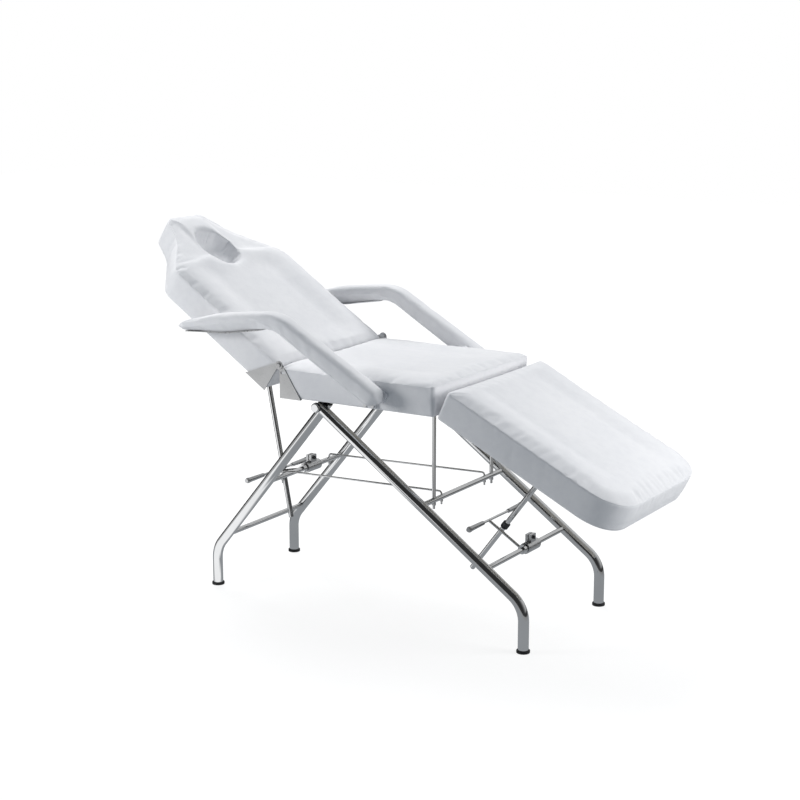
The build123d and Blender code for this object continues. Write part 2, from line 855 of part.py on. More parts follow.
def strut_bracket(plane, run, base_n):
    pin_n = base_n - bracket_drop
    with BuildPart() as bracket:
        with BuildSketch(plane.offset(base_n - bracket_t)):
            with Locations((run, 0)):
                RectangleRounded(bracket_len, bracket_w, bracket_t)
        extrude(amount=bracket_t)
        for _, side in SIDES:
            with BuildSketch(facing(plane, side * (ear_inner + bracket_t / 2))):
                with Locations((run, pin_n)):
                    Circle(strut_eye_r)
                Polygon(
                    (run - bracket_ear_foot / 2, base_n - bracket_t),
                    (run - strut_eye_r, pin_n),
                    (run + strut_eye_r, pin_n),
                    (run + bracket_ear_foot / 2, base_n - bracket_t),
                    align=None,
                )
                with Locations((run, pin_n)):
                    Circle(strut_pin_d / 2 + run_gap, mode=Mode.SUBTRACT)
            extrude(amount=bracket_t / 2, both=True)
    return bracket


save(strut_bracket(back_plane, back_strut_run, back_base_n), "back_strut_bracket")
save(strut_bracket(rest_plane, rest_strut_run, rest_base_n), "leg_strut_bracket")


# Levers: the cross tube that each turns on, the end of its stem and where the strut passes it
def stem_point(place, angle, run):
    turn = radians(angle)
    return (place[0] + cos(turn) * run, place[1] + sin(turn) * run)


rear_bar = stem_point(rear_upper, rear_stem_angle, rear_stem_len)
rear_lock = stem_point(rear_upper, rear_stem_angle, lock_reach)
front_bar = stem_point(front_lower, front_stem_angle, front_stem_len)
front_lock = stem_point(front_lower, front_stem_angle, lock_reach)

back_pin = back_plane.from_local_coords(Vector(back_strut_run, 0, back_base_n - bracket_drop))
rest_pin = rest_plane.from_local_coords(Vector(rest_strut_run, 0, rest_base_n - bracket_drop))
back_strut_dir = (Vector(rear_lock[0], 0, rear_lock[1]) - back_pin).normalized()
rest_strut_dir = (Vector(front_lock[0], 0, front_lock[1]) - rest_pin).normalized()


# Struts: a plain rod that hangs from its panel by an eye, whose neck it grows out of
strut_root = strut_eye_r - strut_d * strut_root_share


def strut(pin, direction, length):
    with BuildPart() as rod:
        with BuildSketch(Plane(origin=pin + direction * strut_root, z_dir=direction)):
            Circle(strut_d / 2)
        extrude(amount=length - strut_root)
        end_rim = rod.faces().sort_by(Axis.Z)[0].edges()
        chamfer(end_rim, strut_end_chamfer)
        with BuildSketch(Plane(origin=pin, z_dir=(0, 1, 0))):
            Circle(strut_eye_r)
        extrude(amount=strut_eye_w / 2, both=True)
        with BuildSketch(Plane(origin=pin, z_dir=(0, 1, 0))):
            Circle(strut_pin_d / 2 + run_gap)
        extrude(amount=strut_eye_w, both=True, mode=Mode.SUBTRACT)
    return rod


def strut_pin(pin):
    head_y = ear_inner + bracket_t + side_gap
    with BuildPart() as pin_piece:
        with BuildSketch(Plane(origin=pin, z_dir=(0, 1, 0))):
            Circle(strut_pin_d / 2)
        extrude(amount=head_y, both=True)
        for _, side in SIDES:
            with BuildSketch(Plane(origin=pin + Vector(0, side * head_y, 0), z_dir=(0, side, 0))):
                Circle(strut_pin_head_d / 2)
            extrude(amount=strut_pin_head_h)
    return pin_piece


# Lock collars, which slide on the struts just above the lever stems
def lock_collar(lock, direction):
    start = Vector(lock[0], 0, lock[1]) - direction * (collar_lift + collar_len)
    with BuildPart() as collar:
        with BuildSketch(Plane(origin=start, z_dir=direction)):
            Circle(collar_d / 2)
            Circle(strut_d / 2 + slide_gap, mode=Mode.SUBTRACT)
        extrude(amount=collar_len)
        ends = collar.faces().filter_by(GeomType.PLANE)
        rims = ShapeList([face.outer_wire().edges()[0] for face in ends])
        chamfer(rims, collar_chamfer)
    return collar


save(strut(back_pin, back_strut_dir, back_strut_len), "back_strut")
save(strut_pin(back_pin), "back_strut_pin")
save(lock_collar(rear_lock, back_strut_dir), "back_lock_collar")
save(strut(rest_pin, rest_strut_dir, rest_strut_len), "leg_strut")
save(strut_pin(rest_pin), "leg_strut_pin")
save(lock_collar(front_lock, rest_strut_dir), "leg_lock_collar")


# T-levers: hub, stem and cross bar, beside the strut
def lever(place, bar, shift):
    stem = Vector(bar[0] - place[0], 0, bar[1] - place[1])
    root = Vector(place[0], -lever_y, place[1])
    stem_start = cross_r + slide_gap + side_gap
    bar_half = grip_half - grip_cap_t
    with BuildPart() as piece:
        with BuildSketch(upright(-lever_y)):
            with Locations(place):
                Circle(lever_hub_d / 2)
                Circle(cross_r + slide_gap, mode=Mode.SUBTRACT)
        extrude(amount=lever_hub_w / 2, both=True)
        with BuildSketch(Plane(origin=root + stem.normalized() * stem_start, z_dir=stem)):
            Circle(lever_stem_d / 2)
        extrude(amount=stem.length - stem_start)
        with BuildSketch(upright(shift)):
            with Locations(bar):
                Circle(lever_bar_d / 2)
        extrude(amount=bar_half, both=True)
    return piece


def lever_grips(bar, shift):
    root = Vector(bar[0], shift, bar[1])
    bore_r = lever_bar_d / 2 + run_gap
    inner = grip_half - grip_len
    ring_start = grip_half - grip_cap_t - grip_ring_w
    blind = grip_half - grip_cap_t + run_gap
    with BuildPart() as pair:
        for _, side in SIDES:
            with BuildSketch(Plane(origin=root, x_dir=(0, side, 0), z_dir=(side, 0, 0))):
                with BuildLine():
                    Polyline(
                        (inner, bore_r),
                        (inner, grip_inner_d / 2),
                        (ring_start, grip_outer_d / 2),
                        (ring_start, grip_ring_d / 2),
                        (ring_start + grip_ring_w, grip_ring_d / 2),
                        (ring_start + grip_ring_w, grip_outer_d / 2),
                        (grip_half, grip_inner_d / 2),
                        (grip_half, 0),
                        (blind, 0),
                        (blind, bore_r),
                        close=True,
                    )
                make_face()
            revolve(axis=Axis(root, (0, side, 0)))
    return pair


save(lever(rear_upper, rear_bar, rear_bar_shift), "rear_lever")
save(lever_grips(rear_bar, rear_bar_shift), "rear_lever_grips")
save(lever(front_lower, front_bar, front_bar_shift), "front_lever")
save(lever_grips(front_bar, front_bar_shift), "front_lever_grips")


# Clamp sleeves: split collars on the cross tubes, drawn tight by a bolt through two lugs
sleeve_start = -lever_y + lever_hub_w / 2 + sleeve_gap
lug_start = sleeve_start + (sleeve_len - sleeve_lug_len) / 2


def clamp_sleeve(place):
    x, z = place
    with BuildPart() as sleeve:
        with BuildSketch(upright(sleeve_start)):
            with Locations(place):
                Circle(sleeve_d / 2)
                Circle(cross_r + weld_gap, mode=Mode.SUBTRACT)
        extrude(amount=-sleeve_len)
        with BuildSketch(upright(lug_start)):
            Polygon(
                (x - sleeve_lug_w / 2, z + cross_r + cross_wall),
                (x + sleeve_lug_w / 2, z + cross_r + cross_wall),
                (x + sleeve_lug_w / 2, z + sleeve_lug_h),
                (x - sleeve_lug_w / 2, z + sleeve_lug_h),
                align=None,
            )
        extrude(amount=-sleeve_lug_len)
        with BuildSketch(upright(sleeve_start - overrun)):
            Polygon(
                (x - sleeve_slot / 2, z),
                (x + sleeve_slot / 2, z),
                (x + sleeve_slot / 2, z + sleeve_lug_h + overrun),
                (x - sleeve_slot / 2, z + sleeve_lug_h + overrun),
                align=None,
            )
        extrude(amount=-sleeve_len - 2 * overrun, mode=Mode.SUBTRACT)
        bolt_y = lug_start + sleeve_lug_len / 2
        with BuildSketch(Plane(origin=(x, bolt_y, z + clamp_bolt_h), z_dir=(1, 0, 0))):
            Circle(clamp_bolt_d / 2 + run_gap)
        extrude(amount=sleeve_lug_w, both=True, mode=Mode.SUBTRACT)
    return sleeve


save(clamp_sleeve(rear_upper), "clamp_sleeve_rear")
save(clamp_sleeve(front_lower), "clamp_sleeve_front")

with BuildPart() as clamp_bolts:
    for bolt_x, bolt_z in (rear_upper, front_lower):
        centre = Vector(bolt_x, lug_start + sleeve_lug_len / 2, bolt_z + clamp_bolt_h)
        with BuildSketch(Plane(origin=centre, z_dir=(1, 0, 0))):
            Circle(clamp_bolt_d / 2)
        extrude(amount=sleeve_lug_w / 2 + clamp_head_h, both=True)
        for _, side in SIDES:
            face_x = Vector(side * sleeve_lug_w / 2, 0, 0)
            with BuildSketch(Plane(origin=centre + face_x, z_dir=(side, 0, 0))):
                RegularPolygon(clamp_head_d / 2, 6, major_radius=False)
            extrude(amount=clamp_head_h)
save(clamp_bolts, "clamp_bolts")


# Armrests: a padded board bent over the hinge, with a steel strip under its level part
def arm_pad(side):
    corners = (
        (arm_tip_top, arm_tip_r), (arm_belly_top, arm_belly_r), (arm_bend + arm_mid_up, arm_top_bend_r),
        (arm_end_top, arm_end_r), (arm_end_low, arm_end_r), (arm_low_bend, arm_low_bend_r),
        (arm_belly_low, arm_belly_r), (arm_tip_low, arm_tip_r),
    )
    radii = [radius for _, radius in corners]
    with BuildPart() as pad:
        with BuildSketch(upright(side * arm_y)):
            with BuildLine():
                FilletPolyline(*[(p.X, p.Y) for p, _ in corners], radius=radii, close=True)
            make_face()
        extrude(amount=arm_w / 2, both=True)
        rims = pad.edges().group_by(Axis.Y)
        fillet(rims[0] + rims[-1], arm_edge_r)
    return pad


def arm_strip(side):
    first = (arm_belly_low - arm_tip_low).normalized()
    second = (arm_low_bend - arm_belly_low).normalized()
    down = (first + second).normalized().rotate(Axis.Z, -90)
    tops = (
        arm_tip_low + first * strip_setback + down * soft_gap,
        arm_belly_low + down * soft_gap,
        arm_low_bend - second * strip_front_setback + down * soft_gap,
    )
    corners = (*tops, *[top + down * strip_t for top in reversed(tops)])
    with BuildPart() as strip:
        with BuildSketch(upright(side * arm_y)):
            Polygon(*[(p.X, p.Y) for p in corners], align=None)
        extrude(amount=strip_w / 2, both=True)
    return strip


def arm_plate(side):
    centre = arm_end - arm_front_dir * (arm_plate_len / 2)
    tab_low = arm_bolt_z - board_t / 2 + soft_base_r
    with BuildPart() as plate:
        with BuildSketch(upright(side * arm_plate_inner)):
            with Locations(Location((centre.X, centre.Y, 0), (0, 0, -arm_lower_angle))):
                RectangleRounded(arm_plate_len, arm_plate_w, arm_plate_r)
            Polygon(
                (arm_tab_x - arm_tab_len / 2, tab_low),
                (arm_tab_x + arm_tab_len / 2, tab_low),
                (arm_tab_x + arm_tab_len / 2, arm_tab_top),
                (arm_tab_x - arm_tab_len / 2, arm_tab_top + arm_tab_len * tan(radians(arm_lower_angle))),
                align=None,
            )
            with Locations(*[(x, arm_bolt_z) for x in arm_bolt_xs]):
                Circle(arm_bolt_d / 2 + run_gap, mode=Mode.SUBTRACT)
        extrude(amount=-side * (arm_plate_outer - arm_plate_inner))
    return plate


for side_name, side in SIDES:
    save(arm_pad(side), f"armrest_pad_{side_name}")
    save(arm_strip(side), f"armrest_strip_{side_name}")
    save(arm_plate(side), f"armrest_plate_{side_name}")

with BuildPart() as armrest_bolts:
    for _, side in SIDES:
        for bolt_x in arm_bolt_xs:
            with BuildSketch(upright(side * arm_plate_outer)):
                with Locations((bolt_x, arm_bolt_z)):
                    Circle(arm_bolt_d / 2)
            extrude(amount=side * (arm_plate_outer - cushion_half + arm_bolt_len - soft_gap))
            with BuildSketch(upright(side * arm_plate_outer)):
                with Locations((bolt_x, arm_bolt_z)):
                    Circle(arm_bolt_head_d / 2)
            extrude(amount=-side * arm_bolt_head_h)
save(armrest_bolts, "armrest_bolts")
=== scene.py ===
import json
from math import acos, cos, pi, radians, sin, sqrt, tan

import bmesh
import bpy
import numpy as np
from mathutils import Matrix, Vector


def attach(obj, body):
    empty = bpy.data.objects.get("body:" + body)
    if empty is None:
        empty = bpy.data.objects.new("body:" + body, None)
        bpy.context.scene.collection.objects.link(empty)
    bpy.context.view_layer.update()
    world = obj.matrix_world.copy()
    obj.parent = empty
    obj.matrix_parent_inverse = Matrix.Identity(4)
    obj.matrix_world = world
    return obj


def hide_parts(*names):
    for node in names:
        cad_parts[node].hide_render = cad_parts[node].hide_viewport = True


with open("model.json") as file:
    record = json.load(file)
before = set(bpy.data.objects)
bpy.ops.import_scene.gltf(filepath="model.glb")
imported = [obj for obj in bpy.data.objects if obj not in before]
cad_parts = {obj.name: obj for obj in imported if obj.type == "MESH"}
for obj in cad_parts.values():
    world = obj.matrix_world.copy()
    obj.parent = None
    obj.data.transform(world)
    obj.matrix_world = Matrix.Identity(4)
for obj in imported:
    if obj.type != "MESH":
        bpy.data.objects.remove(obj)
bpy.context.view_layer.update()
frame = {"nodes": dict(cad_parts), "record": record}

nodes = frame["nodes"]

# Sizes that the source has too, in metres. x runs to the foot end, y to the left and z up, and x is counted
# from the middle of the whole object, which gives the hinge and the pivot their odd digits.
SEAT_BASE_Z = 0.662
CUSHION_T = 0.100
CUSHION_HALF = 0.286
SEAT_LEN = 0.540
BACK_LEN = 0.700
REST_LEN = 0.613
HINGE_X = -0.247007
HINGE_Z = 0.760
REST_X = HINGE_X + SEAT_LEN
REST_Z = 0.658
BACK_ANGLE = radians(34.0)
REST_ANGLE = radians(26.5)
HOLE_R = 0.078
HOLE_RUN = 0.537
PIVOT_X = -0.129007
SIDES = (("right", -1), ("left", 1))


# Frames of the three panels

def panel_frame(origin, x_dir, z_dir):
    """A panel's own frame: x runs along it from its hinge, y across it and z out of its top."""
    rows = (Vector(x_dir).normalized(), Vector((0, 1, 0)), Vector(z_dir).normalized())
    place = Matrix(rows).transposed().to_4x4()
    place.translation = Vector(origin)
    return place


SEAT = panel_frame((HINGE_X, 0, SEAT_BASE_Z), (1, 0, 0), (0, 0, 1))
BACK = panel_frame((HINGE_X, 0, HINGE_Z), (-cos(BACK_ANGLE), 0, sin(BACK_ANGLE)),
                   (sin(BACK_ANGLE), 0, cos(BACK_ANGLE)))
REST = panel_frame((REST_X, 0, REST_Z), (cos(REST_ANGLE), 0, -sin(REST_ANGLE)),
                   (sin(REST_ANGLE), 0, cos(REST_ANGLE)))


# Shader nodes

def empty_material(name):
    """A material whose tree holds the output node alone."""
    mat = bpy.data.materials.new(name)
    mat.use_nodes = True
    nt = mat.node_tree
    nt.nodes.clear()
    return mat, nt, nt.nodes.new("ShaderNodeOutputMaterial")


def surface_material(name):
    mat, nt, out = empty_material(name)
    bsdf = nt.nodes.new("ShaderNodeBsdfPrincipled")
    nt.links.new(bsdf.outputs[0], out.inputs[0])
    return mat, nt, bsdf


def coords(nt, scale=(1, 1, 1)):
    tc = nt.nodes.new("ShaderNodeTexCoord")
    mp = nt.nodes.new("ShaderNodeMapping")
    mp.inputs["Scale"].default_value = scale
    nt.links.new(tc.outputs["Object"], mp.inputs["Vector"])
    return mp.outputs["Vector"]


def noise(nt, vec, scale, detail=3.0, rough=0.5, distortion=0.0):
    n = nt.nodes.new("ShaderNodeTexNoise")
    n.inputs["Scale"].default_value = scale
    n.inputs["Detail"].default_value = detail
    n.inputs["Roughness"].default_value = rough
    n.inputs["Distortion"].default_value = distortion
    nt.links.new(vec, n.inputs["Vector"])
    return n.outputs["Fac"]


def cells(nt, vec, scale, feature="F1"):
    n = nt.nodes.new("ShaderNodeTexVoronoi")
    n.feature = feature
    n.inputs["Scale"].default_value = scale
    nt.links.new(vec, n.inputs["Vector"])
    return n.outputs["Distance"]


def ramp(nt, fac, stops):
    """Colours by place along fac, from a list of places and colours."""
    n = nt.nodes.new("ShaderNodeValToRGB")
    els = n.color_ramp.elements
    while len(els) > len(stops):
        els.remove(els[-1])
    while len(els) < len(stops):
        els.new(1.0)
    for el, (place, color) in zip(els, stops):
        el.position = place
        el.color = (*color, 1)
    nt.links.new(fac, n.inputs["Fac"])
    return n.outputs["Color"]


def grey_ramp(nt, fac, stops):
    return ramp(nt, fac, [(place, (level,) * 3) for place, level in stops])


def remap(nt, fac, lo, hi, from_lo=0.0, from_hi=1.0):
    n = nt.nodes.new("ShaderNodeMapRange")
    for key, val in (("From Min", from_lo), ("From Max", from_hi), ("To Min", lo), ("To Max", hi)):
        n.inputs[key].default_value = val
    nt.links.new(fac, n.inputs["Value"])
    return n.outputs["Result"]


def feed(nt, socket, value):
    """Links the socket to another one, or sets it to a number or a colour."""
    if hasattr(value, "is_linked"):
        nt.links.new(value, socket)
    elif isinstance(value, (int, float)):
        socket.default_value = value
    else:
        socket.default_value = (*value, 1)


def math_node(nt, op, a, b=0.0):
    n = nt.nodes.new("ShaderNodeMath")
    n.operation = op
    feed(nt, n.inputs[0], a)
    feed(nt, n.inputs[1], b)
    return n.outputs[0]


def mix_color(nt, fac, a, b, mode="MIX"):
    n = nt.nodes.new("ShaderNodeMix")
    n.data_type = "RGBA"
    n.blend_type = mode
    # the sockets of the colour mode are the first, the seventh and the eighth
    for place, value in ((0, fac), (6, a), (7, b)):
        feed(nt, n.inputs[place], value)
    return n.outputs[2]


def mix_shaders(nt, fac, a, b):
    n = nt.nodes.new("ShaderNodeMixShader")
    for socket, source in zip(n.inputs, (fac, a, b)):
        nt.links.new(source, socket)
    return n.outputs[0]


def seen_ray(nt):
    """1 for rays from the camera, off a mirror or through glass, and 0 for light on its way to the object."""
    path = nt.nodes.new("ShaderNodeLightPath")
    seen = math_node(nt, "MAXIMUM", path.outputs["Is Camera Ray"], path.outputs["Is Glossy Ray"])
    return math_node(nt, "MAXIMUM", seen, path.outputs["Is Transmission Ray"])


def bump(nt, height, strength, distance, normal=None):
    n = nt.nodes.new("ShaderNodeBump")
    n.inputs["Strength"].default_value = strength
    n.inputs["Distance"].default_value = distance
    nt.links.new(height, n.inputs["Height"])
    if normal is not None:
        nt.links.new(normal, n.inputs["Normal"])
    return n.outputs["Normal"]


# Materials

def leather_material(name):
    """Smooth white imitation leather: fine pores, soft pulls and a faint painted shade that greys the folds.
    """
    mat, nt, b = surface_material(name)
    v = coords(nt)
    broad = noise(nt, v, 4.0)
    fine = noise(nt, v, 38.0, detail=4.0, rough=0.6)
    pores = cells(nt, v, 900.0)
    creases = cells(nt, v, 420.0, "DISTANCE_TO_EDGE")
    pulls = noise(nt, v, 21.0, detail=2.0, rough=0.45, distortion=0.6)
    base = ramp(nt, broad, [(0.30, (0.812, 0.811, 0.824)), (0.62, (0.852, 0.848, 0.856))])
    # Painted shade: where Pointiness is low, in the folds and hollows, the colour is greyed down towards
    # 0.80.
    geo = nt.nodes.new("ShaderNodeNewGeometry")
    fold_shade = ramp(nt, geo.outputs["Pointiness"], [(0.44, (0.80, 0.80, 0.82)), (0.50, (1, 1, 1))])
    base = mix_color(nt, 0.55, base, fold_shade, "MULTIPLY")
    speck = ramp(nt, fine, [(0.35, (0.965, 0.965, 0.97)), (0.6, (1, 1, 1))])
    base = mix_color(nt, 1.0, base, speck, "MULTIPLY")
    nt.links.new(base, b.inputs["Base Color"])
    nt.links.new(remap(nt, fine, 0.36, 0.50, 0.3, 0.7), b.inputs["Roughness"])
    b.inputs["IOR"].default_value = 1.46
    b.inputs["Specular IOR Level"].default_value = 0.42
    b.inputs["Coat Weight"].default_value = 0.06
    b.inputs["Coat Roughness"].default_value = 0.28
    normal = bump(nt, remap(nt, pores, 0.0, 1.0, 0.0, 0.9), 0.10, 0.0003)
    normal = bump(nt, grey_ramp(nt, creases, [(0.0, 0.0), (0.12, 1.0)]), 0.10, 0.0003, normal)
    normal = bump(nt, pulls, 0.16, 0.004, normal)
    nt.links.new(normal, b.inputs["Normal"])
    return mat


def metal_material(name, tint, rough, grain, stretch=(1, 1, 1), grain_size=160.0, spots=0.12):
    """Bare metal: uneven polish, a faint grain, drawn out where stretch says so, and duller spots."""
    mat, nt, b = surface_material(name)
    broad = noise(nt, coords(nt), 9.0, rough=0.55)
    fine = noise(nt, coords(nt, stretch), grain_size, detail=4.0, rough=0.6)
    dull = tuple(c * (1 - spots) for c in tint)
    nt.links.new(ramp(nt, broad, [(0.35, dull), (0.65, tint)]), b.inputs["Base Color"])
    b.inputs["Metallic"].default_value = 1.0
    nt.links.new(remap(nt, fine, rough * 0.75, rough * 1.35, 0.3, 0.7), b.inputs["Roughness"])
    nt.links.new(bump(nt, fine, grain, 0.0002), b.inputs["Normal"])
    return mat


def solid_material(name, colors, roughs, grain, grain_size):
    """Rubber, paint or plastic: a mottled colour with a fine moulded grain."""
    mat, nt, b = surface_material(name)
    v = coords(nt)
    broad = noise(nt, v, 24.0)
    fine = noise(nt, v, grain_size, detail=4.0, rough=0.6)
    nt.links.new(ramp(nt, broad, [(0.3, colors[0]), (0.7, colors[1])]), b.inputs["Base Color"])
    nt.links.new(remap(nt, fine, *roughs, 0.3, 0.7), b.inputs["Roughness"])
    nt.links.new(bump(nt, fine, grain, 0.0004), b.inputs["Normal"])
    return mat


def wood_material(name):
    """Bare plywood: long pale grain over a warm base."""
    mat, nt, b = surface_material(name)
    grain = noise(nt, coords(nt, (2.0, 26.0, 26.0)), 5.0, detail=6.0, rough=0.62, distortion=0.5)
    patches = noise(nt, coords(nt), 3.0, detail=2.0)
    base = ramp(nt, grain, [(0.30, (0.42, 0.38, 0.33)), (0.52, (0.54, 0.50, 0.44)),
                            (0.75, (0.62, 0.58, 0.52))])
    shade = ramp(nt, patches, [(0.3, (0.85, 0.83, 0.8)), (0.7, (1, 1, 1))])
    nt.links.new(mix_color(nt, 0.5, base, shade, "MULTIPLY"), b.inputs["Base Color"])
    nt.links.new(remap(nt, grain, 0.55, 0.75), b.inputs["Roughness"])
    nt.links.new(bump(nt, grain, 0.25, 0.0004), b.inputs["Normal"])
    return mat


RUBBER_COLORS = ((0.012, 0.012, 0.013), (0.026, 0.026, 0.027))
DARK_COLORS = ((0.035, 0.036, 0.040), (0.055, 0.057, 0.062))
WHITE_COLORS = ((0.78, 0.78, 0.80), (0.83, 0.83, 0.85))

LEATHER = leather_material("white_leather")
# Painted shade: a dark metal for the hinge sheet's cut edges, standing for the shadow line along them.
EDGE_SHADE = metal_material("sheet_edge_shade", (0.16, 0.165, 0.17), 0.45, 0.10)
SLOT_MATERIAL = {
    "upholstery": LEATHER,
    "plywood": wood_material("plywood"),
    "rubber": solid_material("black_rubber", RUBBER_COLORS, (0.46, 0.66), 0.25, 300.0),
    "grip": metal_material("silver_grip", (0.60, 0.61, 0.62), 0.16, 0.04, grain_size=200.0),
    "hinge_sheet": metal_material("satin_sheet", (0.80, 0.81, 0.82), 0.34, 0.12, (1, 1, 40), 60.0),
    "dark_metal": solid_material("dark_paint", DARK_COLORS, (0.30, 0.42), 0.10, 420.0),
    "zinc": metal_material("zinc", (0.78, 0.79, 0.80), 0.30, 0.10, grain_size=340.0),
    "chrome": metal_material("chrome", (0.86, 0.87, 0.88), 0.075, 0.02, spots=0.06),
    "white_metal": solid_material("white_paint", WHITE_COLORS, (0.34, 0.46), 0.06, 380.0),
}
SHARP_ANGLE = radians(32)


def shade_by_angle(mesh):
    """Smooth shading with the sharp edges kept, and no point of the mesh moved."""
    for poly in mesh.polygons:
        poly.use_smooth = True
    bm = bmesh.new()
    bm.from_mesh(mesh)
    sharp = [len(e.link_faces) != 2 or e.calc_face_angle(0.0) > SHARP_ANGLE for e in bm.edges]
    bm.free()
    mesh.edges.foreach_set("use_edge_sharp", sharp)
    mesh.update()


def dress_solid(mesh, slot):
    """The finish of a solid that stays as it is: its slot's material, and on bent sheet painted shade, a dark
    metal on the cut edges.
    """
    mesh.materials.clear()
    mesh.materials.append(SLOT_MATERIAL[slot])
    for poly in mesh.polygons:
        poly.material_index = 0
    shade_by_angle(mesh)
    # Painted shade: the sheet's edge faces, which are neither of its flat faces, get the dark metal.
    if slot == "hinge_sheet":
        mesh.materials.append(EDGE_SHADE)
        for poly in mesh.polygons:
            flat = abs(poly.normal.y) > 0.5 or abs(poly.normal.z) > 0.98
            poly.material_index = 0 if flat else 1


for row in frame["record"]["subparts"]:
    dress_solid(nodes[row["node"]].data, row["material_slot"])


# Mesh helpers

def face_outwards(mesh):
    """Turns the faces of a closed mesh the same way, outwards."""
    bm = bmesh.new()
    bm.from_mesh(mesh)
    bmesh.ops.recalc_face_normals(bm, faces=bm.faces)
    bm.to_mesh(mesh)
    bm.free()


def add_object(name, data):
    obj = bpy.data.objects.new(name, data)
    bpy.context.scene.collection.objects.link(obj)
    return obj


def add_cover(name, verts, faces, body, place=None):
    """A leather cover on a body, from points that place moves out of the panel's own frame."""
    mesh = bpy.data.meshes.new(name)
    mesh.from_pydata([tuple(v) for v in verts], [], faces)
    if place is not None:
        mesh.transform(place)
    face_outwards(mesh)
    mesh.materials.append(LEATHER)
    for poly in mesh.polygons:
        poly.use_smooth = True
    obj = add_object(name, mesh)
    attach(obj, body)
    soften = obj.modifiers.new("soften", "SUBSURF")
    soften.levels = 1
    soften.render_levels = 1
    return obj


def smooth_step(a, b, x):
    t = max(0.0, min(1.0, (x - a) / (b - a)))
    return t * t * (3 - 2 * t)


# Outlines of the cushions, seen from above in the panel's own frame: x, y and radius of the right half's
# corners, which the left half mirrors
COVER_START = 0.001
SHOULDER_X = 0.466
NECK_X, NECK_HALF = 0.598, 0.138
CROWN_HALF = 0.084
SEAT_END = SEAT_LEN - COVER_START
HALF_OUTLINES = {
    "seat": [(COVER_START, -CUSHION_HALF, 0.012), (SEAT_END, -CUSHION_HALF, 0.014)],
    "leg": [(COVER_START, -CUSHION_HALF, 0.012), (REST_LEN, -CUSHION_HALF, 0.110)],
    "back": [(COVER_START, -CUSHION_HALF, 0.012), (SHOULDER_X, -CUSHION_HALF, 0.060),
             (NECK_X, -NECK_HALF, 0.140), (BACK_LEN, -CROWN_HALF, 0.042)],
}
# Steps round a corner, the length of a step along an edge, and the least radius that an inset leaves
ARC_N = 8
GRID_STEP = 0.010
LEAST_CORNER_R = 0.0008


class Outline:
    """A cushion's outline, and loops inside it that all have the same number of points."""

    def __init__(self, half):
        corners = half + [(x, -y, r) for x, y, r in reversed(half)]
        following = corners[1:] + corners[:1]
        lengths = [sqrt((p[0] - q[0]) ** 2 + (p[1] - q[1]) ** 2) for p, q in zip(corners, following)]
        self.counts = [max(3, round(length / GRID_STEP)) for length in lengths]
        self.radii = [r for _, _, r in corners]
        self.points = [Vector((x, y)) for x, y, _ in corners]
        self.dirs = [(q - p).normalized() for p, q in zip(self.points, self.points[1:] + self.points[:1])]
        self.normals = [Vector((-d.y, d.x)) for d in self.dirs]

    def corner(self, i, inset):
        """The sharp corner i of the outline moved in by inset, and 1 where it turns left or -1 right."""
        d0, d1 = self.dirs[i - 1], self.dirs[i]
        p0, p1 = (self.points[i] + n * inset for n in (self.normals[i - 1], self.normals[i]))
        cross = d0.x * d1.y - d0.y * d1.x
        run = ((p1 - p0).x * d1.y - (p1 - p0).y * d1.x) / cross
        return p0 + d0 * run, 1 if cross > 0 else -1

    def arc(self, i, inset):
        """The points round corner i."""
        corner, sign = self.corner(i, inset)
        before, after = self.dirs[i - 1], self.dirs[i]
        radius = max(self.radii[i] - sign * inset, LEAST_CORNER_R)
        turn = acos(max(-1, min(1, before.dot(after))))
        start = corner - before * (radius * tan(turn / 2))
        centre = start + self.normals[i - 1] * radius * sign
        spoke = start - centre
        out = []
        for k in range(ARC_N + 1):
            a = sign * turn * k / ARC_N
            turned = (spoke.x * cos(a) - spoke.y * sin(a), spoke.x * sin(a) + spoke.y * cos(a))
            out.append(centre + Vector(turned))
        return out

    def loop(self, inset):
        """The closed outline moved in by inset, its corners rounded."""
        arcs = [self.arc(i, inset) for i in range(len(self.points))]
        out = []
        for i, count in enumerate(self.counts):
            out.extend(arcs[i])
            a, b = arcs[i][-1], arcs[(i + 1) % len(arcs)][0]
            out.extend(a.lerp(b, k / count) for k in range(1, count))
        return out

    def middles(self):
        """Where the middle of each corner's arc stands in a loop, and the number of points in it."""
        places, k = [], 0
        for count in self.counts:
            places.append(k + ARC_N // 2)
            k += ARC_N + count
        return places, k


OUTLINES = {kind: Outline(half) for kind, half in HALF_OUTLINES.items()}


# The soft form of each top: width and drop of the roll along the sides and along the ends, the half widths
# between which the bolster falls into the dish, the dish's depth, the stretches from the two ends over which
# it fades, and the share of it that is left there. The back's dish runs up into the head instead.
SOFT_FORMS = {
    "seat": {"side": (0.066, 0.0155), "end": (0.034, 0.011), "dish": (0.150, 0.214), "depth": 0.0060,
             "fade_in": (0.02, 0.12), "fade_out": (0.15, 0.04), "left": 0.25},
    "leg": {"side": (0.050, 0.0130), "end": (0.040, 0.013), "dish": (0.140, 0.208), "depth": 0.0065,
            "fade_in": (0.0, 0.07), "fade_out": (0.20, 0.06), "left": 0.15},
    "back": {"side": (0.040, 0.0110), "end": (0.036, 0.012), "dish": (0.132, 0.228), "depth": 0.0110,
             "fade_in": (0.02, 0.12), "fade_out": None, "left": 0.45},
}
# The roll takes this share of the drop, and a tight edge at the seam, EDGE_R wide, takes the rest. Then how
# far the dish's middle rises, and the insets between which the dish begins.
ROLL_SHARE = 0.82
EDGE_R = 0.007
CROWN_H = 0.0022
DISH_MARGIN = (0.004, 0.05)
